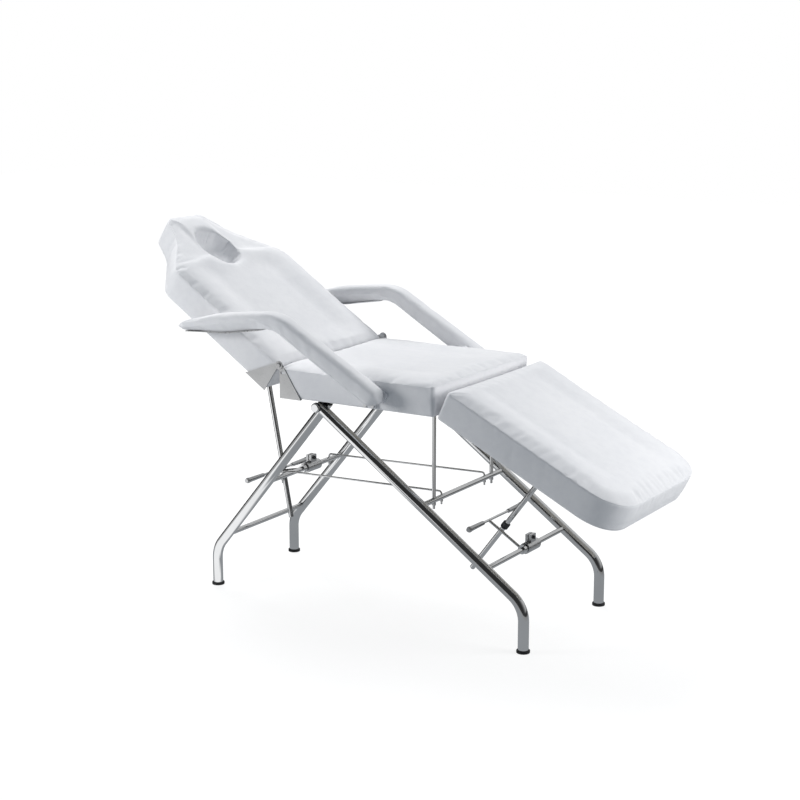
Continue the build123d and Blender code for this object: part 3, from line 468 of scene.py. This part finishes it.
# On the back: where its low end's roll turns into the sides' roll, how narrow the roll gets along the head
# and where, and the head's own dish, with its half widths and the stretch over which it takes over
LOW_END_RUN = (0.05, 0.15)
HEAD_ROLL = 0.72
HEAD_ROLL_RUN = (0.40, 0.58)
HEAD_DISH = 0.0035
HEAD_DISH_HALF = (0.05, 0.11)
HEAD_DISH_RUN = (0.40, 0.50)
# How much further than the nearest edge another one may be and still count, which eases the rolls' corners
RIM_BLEND = 0.010


def rim_of(outline):
    """A function for how far inside the outline a place lies, and how lengthwise the nearest edge is."""
    a = np.array([(p.x, p.y) for p in outline.loop(0.0)])
    d = np.roll(a, -1, axis=0) - a
    size = np.maximum((d ** 2).sum(axis=1), 1e-12)
    along = np.abs(d[:, 0]) / np.sqrt(size)

    def rim(x, y):
        p = np.array((x, y))
        t = np.clip(((p - a) * d).sum(axis=1) / size, 0.0, 1.0)
        gap = np.linalg.norm(a + d * t[:, None] - p, axis=1)
        near = np.exp(-(gap - gap.min()) / RIM_BLEND)
        return gap.min(), float((near * along).sum() / near.sum())
    return rim


def rim_drop(kind, x, inset, share):
    """How far the roll lies below the crest, where share is 1 along the sides and 0 along the ends."""
    side, end = SOFT_FORMS[kind]["side"], SOFT_FORMS[kind]["end"]
    if kind == "back":
        share = max(share, smooth_step(*LOW_END_RUN, x))
    width, drop = (low + (high - low) * share for low, high in zip(end, side))
    if kind == "back":
        width *= 1 - (1 - HEAD_ROLL) * smooth_step(*HEAD_ROLL_RUN, x)
    roll = max(0.0, 1 - inset / width)
    edge = max(0.0, 1 - inset / EDGE_R)
    return drop * (ROLL_SHARE * roll ** 2 + (1 - ROLL_SHARE) * (1 - sqrt(max(0.0, 1 - edge ** 2))))


def dish_drop(kind, x, y, length):
    """How far the middle lies below the crest of the bolsters."""
    form = SOFT_FORMS[kind]
    across = 1 - smooth_step(*form["dish"], abs(y))
    crown = CROWN_H * max(0.0, 1 - (y / form["dish"][0]) ** 2)
    low = form["depth"] * across - crown
    fade = smooth_step(*form["fade_in"], x)
    if kind == "back":
        head = HEAD_DISH * (1 - smooth_step(*HEAD_DISH_HALF, abs(y)))
        low += (head - low) * smooth_step(*HEAD_DISH_RUN, x)
    else:
        begin, end = form["fade_out"]
        fade *= 1 - smooth_step(length - begin, length - end, x)
    return low * (form["left"] + (1 - form["left"]) * fade)


def top_height(kind, x, y, inset, share, length):
    inside = smooth_step(*DISH_MARGIN, inset)
    return CUSHION_T - rim_drop(kind, x, inset, share) - dish_drop(kind, x, y, length) * inside


# Insets of the rings of points on the top, from the middle out. The leg rest's round corners need deep ones.
DEEP_INSETS = [0.104, 0.094, 0.084, 0.074, 0.064, 0.055, 0.046, 0.038]
TOP_INSETS = [0.030, 0.0245, 0.0195, 0.015, 0.011, 0.0080, 0.0056, 0.0036, 0.0020, 0.0009]
# Rings below the top, each with its inset: drops below the seam's height, then shares of that height, then
# heights above the underside, round the low edge and up into the pocket that holds the board
SEAM_ROWS = [(0.0004, 0.0), (0.0017, 0.0011), (0.0004, 0.0024)]
WALL_ROWS = [(0.0002, 0.93), (0.0002, 0.80), (0.0003, 0.66), (0.0004, 0.52), (0.0006, 0.39), (0.0010, 0.27),
             (0.0014, 0.18)]
LOW_ROWS = [(0.0018, 0.010), (0.0026, 0.0048), (0.0050, 0.0016), (0.0090, 0.0004), (0.0130, 0.0),
            (0.01365, 0.0008), (0.01365, 0.012), (0.01365, 0.0253)]
# Rings of the face hole, each with what it adds to the hole's radius: drops below the top, then heights
HOLE_ROWS = [(0.0120, 0.0), (0.0080, -0.0002), (0.0048, -0.0008), (0.0024, -0.0022), (0.0008, -0.0044),
             (0.0, -0.0078)]
HOLE_LOW_ROWS = [(-0.0020, 0.070), (-0.0060, 0.055), (-0.0095, 0.040), (-0.0110, 0.025), (-0.0100, 0.012),
                 (-0.0070, 0.005), (-0.0010, 0.0012), (0.0080, 0.0), (0.01365, 0.0008), (0.01365, 0.012),
                 (0.01365, 0.0253)]
HOLE_CENTRE = Vector((HOLE_RUN, 0))
HOLE_RINGS = 12
HOLE_GRADING = 1.25
# Points along the back's sides before the stretch of faces that run round the hole
BODY_STEPS = 38
# How firmly the cloth simulation holds the seam, and the height below which it holds everything
SEAM_PIN = 0.5
POCKET_TOP = 0.026
# Points that fall on the same place of a grid with this many steps to the metre are one point
JOIN_GRID = 2e5


def coons(near, far, start, end):
    """A grid of points between four edges: near and far run along, start and end run across."""
    n, m = len(near) - 1, len(start) - 1
    grid = []
    for i in range(n + 1):
        u = i / n
        row = []
        for j in range(m + 1):
            v = j / m
            p = near[i] * (1 - v) + far[i] * v + start[j] * (1 - u) + end[j] * u
            near_part = near[0] * (1 - u) * (1 - v) + near[n] * u * (1 - v)
            p = p - (near_part + far[0] * (1 - u) * v + far[n] * u * v)
            row.append(p)
        grid.append(row)
    return grid


class Builder:
    """Collects points and faces, and joins points at the same place."""

    def __init__(self):
        self.verts, self.faces, self.pins, self.index = [], [], [], {}

    def point(self, p, pin=0.0):
        key = tuple(round(c * JOIN_GRID) for c in p)
        if key not in self.index:
            self.index[key] = len(self.verts)
            self.verts.append(tuple(p))
            self.pins.append(pin)
        return self.index[key]

    def face(self, ids):
        ids = [v for k, v in enumerate(ids) if v != ids[k - 1]]
        if len(set(ids)) >= 3 and len(set(ids)) == len(ids):
            self.faces.append(ids)

    def strip(self, a, b):
        """Faces between two closed rings."""
        n = len(a)
        for k in range(n):
            self.face([a[k], a[(k + 1) % n], b[(k + 1) % n], b[k]])

    def grid(self, rows, lift):
        ids = [[self.point((p.x, p.y, lift(p))) for p in row] for row in rows]
        for i in range(len(ids) - 1):
            for j in range(len(ids[0]) - 1):
                self.face([ids[i][j], ids[i + 1][j], ids[i + 1][j + 1], ids[i][j + 1]])

    def rings(self, previous, rings):
        """Strips from ring to ring, each given as its points, their heights and their pin weight."""
        for points, heights, pin in rings:
            ids = [self.point((p.x, p.y, z), pin) for p, z in zip(points, heights)]
            self.strip(previous, ids)
            previous = ids


def fill_loop(build, outline, loop, lift, hole_r=None):
    """Faces over the inside of a loop, lift(point) giving each height. Returns the points round the hole."""
    mids, total = outline.middles()

    def run(a, b):
        if b <= a:
            b += total
        return [loop[k % total] for k in range(a, b + 1)]

    if hole_r is None:
        near, end = run(mids[0], mids[1]), run(mids[1], mids[2])
        far, start = run(mids[2], mids[3]), run(mids[3], mids[0])
        build.grid(coons(near, far[::-1], start[::-1], end), lift)
        return []
    near = run(mids[0], mids[0] + BODY_STEPS)
    far = run(mids[-1] - BODY_STEPS, mids[-1])[::-1]
    start = run(mids[-1], mids[0])[::-1]
    m = len(start) - 1
    seam = [near[-1].lerp(far[-1], j / m) for j in range(m + 1)]
    build.grid(coons(near, far, start, seam), lift)
    outer = run(mids[0] + BODY_STEPS, mids[-1] - BODY_STEPS) + seam[::-1][1:-1]
    hole = [HOLE_CENTRE + (p - HOLE_CENTRE).normalized() * hole_r for p in outer]
    ids = []
    for r in range(HOLE_RINGS + 1):
        share = (r / HOLE_RINGS) ** HOLE_GRADING
        ring = [inner.lerp(p, share) for inner, p in zip(hole, outer)]
        ids.append([build.point((q.x, q.y, lift(q))) for q in ring])
    for a, b in zip(ids, ids[1:]):
        build.strip(a, b)
    return hole


def cushion_shape(kind, length):
    """The closed skin of a cushion: its top, rolls, side, the pocket for the board and the face hole."""
    outline = OUTLINES[kind]
    rim = rim_of(outline)
    build = Builder()

    def lift_top(p):
        inset, share = rim(p.x, p.y)
        return top_height(kind, p.x, p.y, inset, share, length)

    insets = DEEP_INSETS + TOP_INSETS if kind == "leg" else TOP_INSETS
    loops = [outline.loop(inset) for inset in insets]
    top_hole_r = HOLE_R + HOLE_ROWS[0][0] if kind == "back" else None
    low_hole_r = HOLE_R + HOLE_LOW_ROWS[-1][0] if kind == "back" else None
    hole = fill_loop(build, outline, loops[0], lift_top, top_hole_r)
    first = [build.point((p.x, p.y, lift_top(p))) for p in loops[0]]
    seam = [lift_top(p) for p in outline.loop(SEAM_ROWS[0][0])]
    rings = [(loop, [lift_top(p) for p in loop], 0.0) for loop in loops[1:]]
    rings += [(outline.loop(inset), [z - drop for z in seam], SEAM_PIN) for inset, drop in SEAM_ROWS]
    rings += [(outline.loop(inset), [z * part for z in seam], 0.0) for inset, part in WALL_ROWS]
    rings += [(outline.loop(inset), [low] * len(seam), 0.0) for inset, low in LOW_ROWS]
    build.rings(first, rings)
    last_inset, low_z = LOW_ROWS[-1]
    fill_loop(build, outline, outline.loop(last_inset), lambda p: low_z, low_hole_r)

    def hole_ring(out):
        return [HOLE_CENTRE + (p - HOLE_CENTRE).normalized() * (HOLE_R + out) for p in hole]

    if hole:
        crest = [lift_top(p) for p in hole]
        first = [build.point((p.x, p.y, z)) for p, z in zip(hole, crest)]
        rings = [(hole_ring(out), [z + drop for z in crest], 0.0) for out, drop in HOLE_ROWS[1:]]
        rings += [(hole_ring(out), [z] * len(hole), 0.0) for out, z in HOLE_LOW_ROWS]
        build.rings(first, rings)
    return build


# Upholstery by cloth simulation

CLOTH = {
    "quality": 5, "mass": 0.3, "tension_stiffness": 15.0, "compression_stiffness": 15.0,
    "shear_stiffness": 5.0, "bending_stiffness": 0.6, "vertex_group_mass": "pin", "pin_stiffness": 1.0,
    "use_pressure": True, "shrink_min": -0.012,
}


def puff(verts, faces, pins, pressure, frames, cap):
    """The same points after cloth simulation has blown the cover up, none moved by more than cap."""
    mesh = bpy.data.meshes.new("puff")
    mesh.from_pydata(verts, [], faces)
    face_outwards(mesh)
    obj = add_object("puff", mesh)
    group = obj.vertex_groups.new(name="pin")
    for i, weight in enumerate(pins):
        if weight > 0:
            group.add([i], weight, "REPLACE")
    cloth = obj.modifiers.new("cloth", "CLOTH")
    for key, value in CLOTH.items():
        setattr(cloth.settings, key, value)
    cloth.settings.uniform_pressure_force = pressure
    cloth.settings.effector_weights.gravity = 0.0
    cloth.collision_settings.use_collision = False
    cloth.collision_settings.use_self_collision = False
    scene = bpy.context.scene
    scene.frame_set(1)
    for f in range(1, frames + 1):
        scene.frame_set(f)
    result = obj.evaluated_get(bpy.context.evaluated_depsgraph_get()).data
    co = np.zeros(len(verts) * 3)
    result.vertices.foreach_get("co", co)
    start = np.array(verts)
    move = co.reshape(-1, 3) - start
    size = np.linalg.norm(move, axis=1, keepdims=True)
    move *= np.tanh(size / cap) * cap / np.maximum(size, 1e-9)
    bpy.data.objects.remove(obj)
    bpy.data.meshes.remove(mesh)
    scene.frame_set(1)
    return start + move


# The covers stay behind the hinge plates and clear of the next panel, and the leg rest's may bulge at its toe
SIDE_CLEAR = 0.0001
END_CLEAR = 0.0012
TOE_SPARE = 0.001
# Heights of the undersides in the panels' frames
BACK_BASE = 0.002 - CUSHION_T
LEG_BASE = 0.004


def make_cushion(kind, body, length, place, base, reach):
    """A panel's cushion, its underside at the height base and its cover no further along than reach."""
    build = cushion_shape(kind, length)
    co = np.array(build.verts)
    pins = np.where(co[:, 2] < POCKET_TOP, 1.0, build.pins)
    co = puff(build.verts, build.faces, pins, pressure=4.0, frames=20, cap=0.006)
    half = CUSHION_HALF - SIDE_CLEAR
    co[:, 0] = np.clip(co[:, 0], END_CLEAR, reach)
    co[:, 1] = np.clip(co[:, 1], -half, half)
    co[:, 2] += base
    obj = add_cover(f"{kind}_cushion_cover", co, build.faces, body, place)
    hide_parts(f"{kind}_cushion")


make_cushion("seat", "base", SEAT_LEN, SEAT, base=0.0, reach=SEAT_LEN - END_CLEAR)
make_cushion("back", "back_panel", BACK_LEN, BACK, base=BACK_BASE, reach=None)
make_cushion("leg", "leg_panel", REST_LEN, REST, base=LEG_BASE, reach=REST_LEN + TOE_SPARE)


# Armrests: a pad swept along two straight stretches that meet in a round bend, from its rear tip forward

ARM_BEND = Vector((PIVOT_X - 0.095, 0.905))
ARM_BEND_R = 0.120
ARM_TIP_LEN, ARM_TIP_ANGLE = 0.366, radians(7.6)
ARM_END_LEN, ARM_END_ANGLE = 0.412, radians(30.0)
ARM_STEPS = 84
ARM_Y = 0.324
ARM_W = 0.060
ARM_BULGE = 0.002
TIP_R, END_R = 0.030, 0.028
# Thickness by the way along the pad. Then, as shares of half the section, the height of the seam on the side
# and the half width of the underside.
ARM_T = ((0.0, 0.026), (0.183, 0.055), (0.366, 0.046), (0.778, 0.052))
SEAM_SHARE = ((0.0, -0.20), (0.10, 0.05), (0.20, 0.18), (0.30, 0.08), (0.36, -0.45), (0.50, -0.72),
              (0.778, -0.74))
FOOT_SHARE = ((0.0, 0.60), (0.10, 0.40), (0.25, 0.36), (0.36, 0.80), (0.50, 0.88), (0.778, 0.88))
# The crown of the section, from the side to the middle
CROWN = ((0.975, 0.60), (0.91, 0.75), (0.79, 0.87), (0.61, 0.95), (0.40, 0.99), (0.20, 1.005), (0.0, 1.01))
# How firmly the cloth simulation holds the underside, the flank below the seam, and the seam
FOOT_PIN, FLANK_PIN, ARM_SEAM_PIN = 1.0, 0.3, 0.6
# Rings that close the ends, as shares of the last section and steps out of it, and the step of the tip
CAP_RINGS = ((0.82, 0.0012), (0.5, 0.0020), (0.2, 0.0023))
CAP_TIP = 0.0024
# How far up the half thickness an end draws in, where 1 is the middle
END_LIFT = 0.9


def along_arm(table, s):
    """A value of a table of places and values, eased between them."""
    for (a, low), (b, high) in zip(table, table[1:]):
        if s <= b:
            return low + (high - low) * smooth_step(a, b, s)
    return table[-1][1]


def arm_stations():
    """Points down the middle of a pad, the ways up and along at each, and how far the two ends are."""
    back = Vector((-cos(ARM_TIP_ANGLE), -sin(ARM_TIP_ANGLE)))
    front = Vector((cos(ARM_END_ANGLE), -sin(ARM_END_ANGLE)))
    turn = ARM_TIP_ANGLE + ARM_END_ANGLE
    tangent = ARM_BEND_R * tan(turn / 2)
    tip_run, end_run = ARM_TIP_LEN - tangent, ARM_END_LEN - tangent
    arc = ARM_BEND_R * turn
    total = tip_run + arc + end_run
    tip = ARM_BEND + back * ARM_TIP_LEN
    up = Vector((-sin(ARM_TIP_ANGLE), cos(ARM_TIP_ANGLE)))
    centre = ARM_BEND + back * tangent - up * ARM_BEND_R
    out = []
    for k in range(ARM_STEPS + 1):
        s = total * k / ARM_STEPS
        if s < tip_run:
            p, angle = tip - back * s, ARM_TIP_ANGLE
        elif s < tip_run + arc:
            angle = ARM_TIP_ANGLE - (s - tip_run) / ARM_BEND_R
            p = centre + Vector((-sin(angle), cos(angle))) * ARM_BEND_R
        else:
            p, angle = ARM_BEND + front * (tangent + s - tip_run - arc), -ARM_END_ANGLE
        out.append((p, Vector((-sin(angle), cos(angle))), Vector((cos(angle), sin(angle))), s, total - s))
    return out


def arm_section(s):
    """Shares of half the width and height round the pad, with pins: flat below, out to a seam, crowned."""
    seam, foot = along_arm(SEAM_SHARE, s), along_arm(FOOT_SHARE, s)
    flank_low, flank_high, flank_out = -0.985, seam - 0.03, 0.97
    wall_low, wall_rise, wall_in, wall_lean = seam + 0.04, 0.42 - seam - 0.04, 0.975, 0.025
    pts = [(foot * v, -1.0, FOOT_PIN) for v in (-0.9, -0.6, -0.2, 0.2, 0.6, 0.9)]
    pts.append((foot, flank_low, FOOT_PIN))
    for t in (0.35, 0.70, 0.94):
        pts.append((foot + (flank_out - foot) * t, flank_low + (flank_high - flank_low) * t, FLANK_PIN))
    pts.append((0.915, seam, ARM_SEAM_PIN))
    pts += [(wall_in + wall_lean * t, wall_low + wall_rise * t, 0.0) for t in (0.0, 0.35, 0.70, 1.0)]
    pts += [(v, h, 0.0) for v, h in CROWN]
    return pts + [(-v, h, pin) for v, h, pin in pts[6:-1][::-1]]


def end_shares(s, left):
    """What is left of the section's width and height near the rounded ends."""
    tip, end = s / TIP_R, left / END_R
    if tip < 1:
        return max(0.55, 1 - (1 - tip) ** 3), max(0.30, sqrt(1 - (1 - tip) ** 2))
    if end < 1:
        return max(0.50, sqrt(max(0.0, 1 - (1 - end) ** 2.6))), max(0.25, sqrt(max(0.0, 1 - (1 - end) ** 2)))
    return 1.0, 1.0


def arm_shape(side):
    """Points, faces and pins of a pad."""
    stations = arm_stations()
    verts, pins, faces = [], [], []
    for p, up, _, s, left in stations:
        wide, tall = end_shares(s, left)
        half = along_arm(ARM_T, s) / 2
        for v, h, pin in arm_section(s):
            c = p + up * ((h * half + half) * tall - half + half * (1 - tall) * END_LIFT)
            verts.append((c.x, side * (ARM_Y + v * (ARM_W / 2) * wide), c.y))
            pins.append(pin)
    n = len(arm_section(0.0))

    def band(a, b):
        faces.extend([a + j, b + j, b + (j + 1) % n, a + (j + 1) % n] for j in range(n))

    for i in range(len(stations) - 1):
        band(i * n, (i + 1) * n)
    for i, outward in ((0, -1), (len(stations) - 1, 1)):
        ring = [Vector(v) for v in verts[i * n:(i + 1) * n]]
        mid = Vector([sum(v[k] for v in verts[i * n:(i + 1) * n]) / n for k in range(3)])
        along = stations[i][2]
        push = Vector((along.x, 0, along.y)) * outward
        previous = i * n
        for share, step in CAP_RINGS:
            start = len(verts)
            verts.extend(tuple(mid + (v - mid) * share + push * step) for v in ring)
            band(previous, start)
            previous = start
        tip = len(verts)
        verts.append(tuple(mid + push * CAP_TIP))
        faces.extend([previous + j, tip, previous + (j + 1) % n] for j in range(n))
    pins += [0.0] * (len(verts) - len(pins))
    return verts, faces, pins


def make_armrest(side_name, side):
    verts, faces, pins = arm_shape(side)
    co = np.array(verts)
    co = puff(verts, faces, pins, pressure=3.0, frames=16, cap=0.0025)
    inner, outer = ARM_Y - ARM_W / 2, ARM_Y + ARM_W / 2 + ARM_BULGE
    co[:, 1] = side * np.clip(side * co[:, 1], inner, outer)
    obj = add_cover(f"armrest_pad_{side_name}_cover", co, faces, "base")
    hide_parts(f"armrest_pad_{side_name}")


for side_name, side in SIDES:
    make_armrest(side_name, side)


# Camera

CAM_LENS, CAM_SENSOR = 79.06, 36.0
CAM_PLACE = (2.7972, -4.4718, 1.7733)
CAM_AZ, CAM_EL = radians(32.03), radians(12.24)

camera_data = bpy.data.cameras.new("camera")
camera_data.lens = CAM_LENS
camera_data.sensor_width = CAM_SENSOR
camera = add_object("camera", camera_data)
camera.location = CAM_PLACE
look = Vector((-sin(CAM_AZ) * cos(CAM_EL), cos(CAM_AZ) * cos(CAM_EL), -sin(CAM_EL)))
camera.rotation_euler = look.to_track_quat("-Z", "Y").to_euler()
bpy.context.scene.camera = camera


# Studio

def area_light(name, place, aim, width, height, power):
    data = bpy.data.lights.new(name, "AREA")
    data.shape = "RECTANGLE"
    data.size = width
    data.size_y = height
    data.energy = power
    obj = add_object(name, data)
    obj.location = place
    obj.rotation_euler = (Vector(aim) - Vector(place)).to_track_quat("-Z", "Y").to_euler()
    obj.visible_glossy = False


area_light("back_softbox", place=(-1.95, 1.55, 4.05), aim=(0, 0, 0.6), width=2.4, height=2.4, power=184.0)
area_light("foot_softbox", place=(2.4, 0.5, 1.25), aim=(0.2, 0, 0.6), width=1.2, height=0.9, power=31.0)
area_light("head_softbox", place=(-1.9, -1.9, 1.25), aim=(-0.9, 0, 0.9), width=0.9, height=0.9, power=33.0)

SKY_COLOR = (0.78, 0.91, 1.05, 1)
SKY_STRENGTH = 0.19


def background(nt, color, strength):
    n = nt.nodes.new("ShaderNodeBackground")
    n.inputs["Color"].default_value = color
    n.inputs["Strength"].default_value = strength
    return n.outputs[0]


world = bpy.data.worlds.new("studio_world")
bpy.context.scene.world = world
world.use_nodes = True
sky = world.node_tree
sky.nodes.clear()
sky_out = sky.nodes.new("ShaderNodeOutputWorld")
lighting = background(sky, SKY_COLOR, SKY_STRENGTH)
backdrop = background(sky, (1, 1, 1, 1), 1.0)
sky.links.new(mix_shaders(sky, seen_ray(sky), lighting, backdrop), sky_out.inputs[0])

# The floor glows with a level of 0.84 in the middle and 1 from 4 m out, and takes the rest from the lamps
FLOOR_REACH = 12.0
FLOOR_GLOW = (0.84, 1.0)
FLOOR_GLOW_RUN = (1.5, 4.0)


def diffuse(nt, color):
    n = nt.nodes.new("ShaderNodeBsdfDiffuse")
    nt.links.new(color, n.inputs["Color"])
    return n.outputs[0]


def floor_material():
    """White paper: to the camera and in mirrors it glows nearly white and still takes a soft shadow."""
    mat, nt, out = empty_material("floor_paper")
    paper = noise(nt, coords(nt), 30.0)
    bounce = diffuse(nt, ramp(nt, paper, [(0.3, (0.54, 0.56, 0.58)), (0.7, (0.56, 0.58, 0.60))]))
    shadowed = diffuse(nt, grey_ramp(nt, paper, [(0.3, 0.22), (0.7, 0.23)]))
    glow = nt.nodes.new("ShaderNodeEmission")
    glow.inputs["Color"].default_value = (1, 1, 1, 1)
    away = nt.nodes.new("ShaderNodeVectorMath")
    away.operation = "LENGTH"
    nt.links.new(coords(nt), away.inputs[0])
    nt.links.new(remap(nt, away.outputs["Value"], *FLOOR_GLOW, *FLOOR_GLOW_RUN), glow.inputs["Strength"])
    both = nt.nodes.new("ShaderNodeAddShader")
    nt.links.new(shadowed, both.inputs[0])
    nt.links.new(glow.outputs[0], both.inputs[1])
    nt.links.new(mix_shaders(nt, seen_ray(nt), bounce, both.outputs[0]), out.inputs[0])
    mat.cycles.emission_sampling = "NONE"
    return mat


floor_mesh = bpy.data.meshes.new("floor")
floor_corners = [(x * FLOOR_REACH, y * FLOOR_REACH, 0) for x, y in ((-1, -1), (1, -1), (1, 1), (-1, 1))]
floor_mesh.from_pydata(floor_corners, [], [(0, 1, 2, 3)])
floor_mesh.materials.append(floor_material())
floor = add_object("floor", floor_mesh)


# A dome and a disc that only mirrored rays see: they give the chrome its bands

ROOM_R = 9.0
DISC_Z = 0.0004
FRONT = Vector((0.530, -0.848))
LEFT = Vector((-0.848, -0.530))
# Grey levels by direction, where 0.5 is the front that the photograph shows, 0.75 the left, 0.25 the right,
# and 0 and 1 the far side: the floor, the stretch round the horizon and the walls above it. Then the shares
# of two white strips on the floor, one for the tubes and one for the bent sheet.
FLOOR_LEVELS = [(0.0, 0.10), (0.30, 0.24), (0.50, 0.30), (0.62, 0.36), (0.66, 0.36), (0.735, 0.42),
                (0.815, 0.40), (0.840, 0.03), (0.94, 0.03), (1.0, 0.10)]
RIM_LEVELS = [(0.0, 0.50), (0.12, 0.40), (0.17, 0.04), (0.715, 0.04), (0.735, 0.42), (0.815, 0.40),
              (0.840, 0.03), (0.94, 0.03), (1.0, 0.50)]
WALL_LEVELS = [(0.0, 0.55), (0.22, 0.50), (0.36, 0.10), (0.42, 0.03), (0.70, 0.025), (0.80, 0.04),
               (0.93, 0.08), (1.0, 0.55)]
TUBE_STRIP = [(0.0, 0.0), (0.673, 0.0), (0.685, 1.0), (0.770, 1.0), (0.780, 0.0), (1.0, 0.0)]
SHEET_STRIP = [(0.0, 0.0), (0.618, 0.0), (0.632, 0.9), (0.685, 0.9), (0.690, 0.0), (1.0, 0.0)]
NEAR_GREY = (0.295, 0.307, 0.320)
TOP_GREY = (0.26, 0.27, 0.28)
# Distances over which the disc goes from near grey to its levels, from these to the rim's, and over which
# the strips begin and end, then the elevations between which the rim turns to wall and the wall to ceiling
NEAR_RUN, RIM_RUN = (1.0, 1.5), (3.2, 4.2)
TUBE_STRIP_RUN, SHEET_STRIP_RUN, STRIP_END_RUN = (0.35, 0.5), (1.7, 2.1), (4.4, 5.2)
WALL_RUN, TOP_RUN = (radians(6), radians(10)), (radians(60), radians(72))


def room_material(name, colored):
    """A glow coloured by colored(tree, place, turn), where place is x, y and z and turn the direction."""
    mat, nt, out = empty_material(name)
    where = nt.nodes.new("ShaderNodeTexCoord")
    split = nt.nodes.new("ShaderNodeSeparateXYZ")
    nt.links.new(where.outputs["Object"], split.inputs[0])
    x, y, z = split.outputs

    def towards(way):
        return math_node(nt, "ADD", math_node(nt, "MULTIPLY", x, way.x), math_node(nt, "MULTIPLY", y, way.y))

    turn = remap(nt, math_node(nt, "ARCTAN2", towards(LEFT), towards(FRONT)), 0.0, 1.0, -pi, pi)
    glow = nt.nodes.new("ShaderNodeEmission")
    nt.links.new(colored(nt, (x, y, z), turn), glow.inputs["Color"])
    nt.links.new(glow.outputs[0], out.inputs[0])
    mat.cycles.emission_sampling = "NONE"
    return mat


def disc_color(nt, place, turn):
    """Greys by direction and distance, with two white strips between the front and the left."""
    x, y, _ = place
    square = math_node(nt, "ADD", math_node(nt, "MULTIPLY", x, x), math_node(nt, "MULTIPLY", y, y))
    reach = math_node(nt, "SQRT", square)
    color = mix_color(nt, remap(nt, reach, 0.0, 1.0, *NEAR_RUN), NEAR_GREY, grey_ramp(nt, turn, FLOOR_LEVELS))
    color = mix_color(nt, remap(nt, reach, 0.0, 1.0, *RIM_RUN), color, grey_ramp(nt, turn, RIM_LEVELS))
    before_end = remap(nt, reach, 1.0, 0.0, *STRIP_END_RUN)
    for run, strip in ((SHEET_STRIP_RUN, SHEET_STRIP), (TUBE_STRIP_RUN, TUBE_STRIP)):
        within = math_node(nt, "MULTIPLY", remap(nt, reach, 0.0, 1.0, *run), before_end)
        share = math_node(nt, "MULTIPLY", within, grey_ramp(nt, turn, strip))
        color = mix_color(nt, share, color, (1.0, 1.0, 1.0))
    return color


def dome_color(nt, place, turn):
    """The horizon's greys, above them walls that are dark at the front and left, and a mid grey ceiling."""
    high = math_node(nt, "ARCSINE", math_node(nt, "DIVIDE", place[2], ROOM_R))
    rim, wall = grey_ramp(nt, turn, RIM_LEVELS), grey_ramp(nt, turn, WALL_LEVELS)
    color = mix_color(nt, remap(nt, high, 0.0, 1.0, *WALL_RUN), rim, wall)
    return mix_color(nt, remap(nt, high, 0.0, 1.0, *TOP_RUN), color, TOP_GREY)


def add_mirrored(name, material, build_mesh, height=0.0):
    """A smooth surface round the object that only mirrored rays see."""
    mesh = bpy.data.meshes.new(name)
    bm = bmesh.new()
    build_mesh(bm)
    bm.to_mesh(mesh)
    bm.free()
    mesh.materials.append(material)
    for poly in mesh.polygons:
        poly.use_smooth = True
    obj = add_object(name, mesh)
    for kind in ("camera", "diffuse", "transmission", "volume_scatter", "shadow"):
        setattr(obj, f"visible_{kind}", False)
    obj.location.z = height


def build_dome(bm):
    bmesh.ops.create_uvsphere(bm, u_segments=64, v_segments=32, radius=ROOM_R)


def build_disc(bm):
    bmesh.ops.create_circle(bm, cap_ends=True, segments=64, radius=ROOM_R)


add_mirrored("room_dome", room_material("room_walls", dome_color), build_dome)
add_mirrored("room_disc", room_material("room_floor", disc_color), build_disc, DISC_Z)

bpy.context.scene.view_settings.view_transform = "Standard"
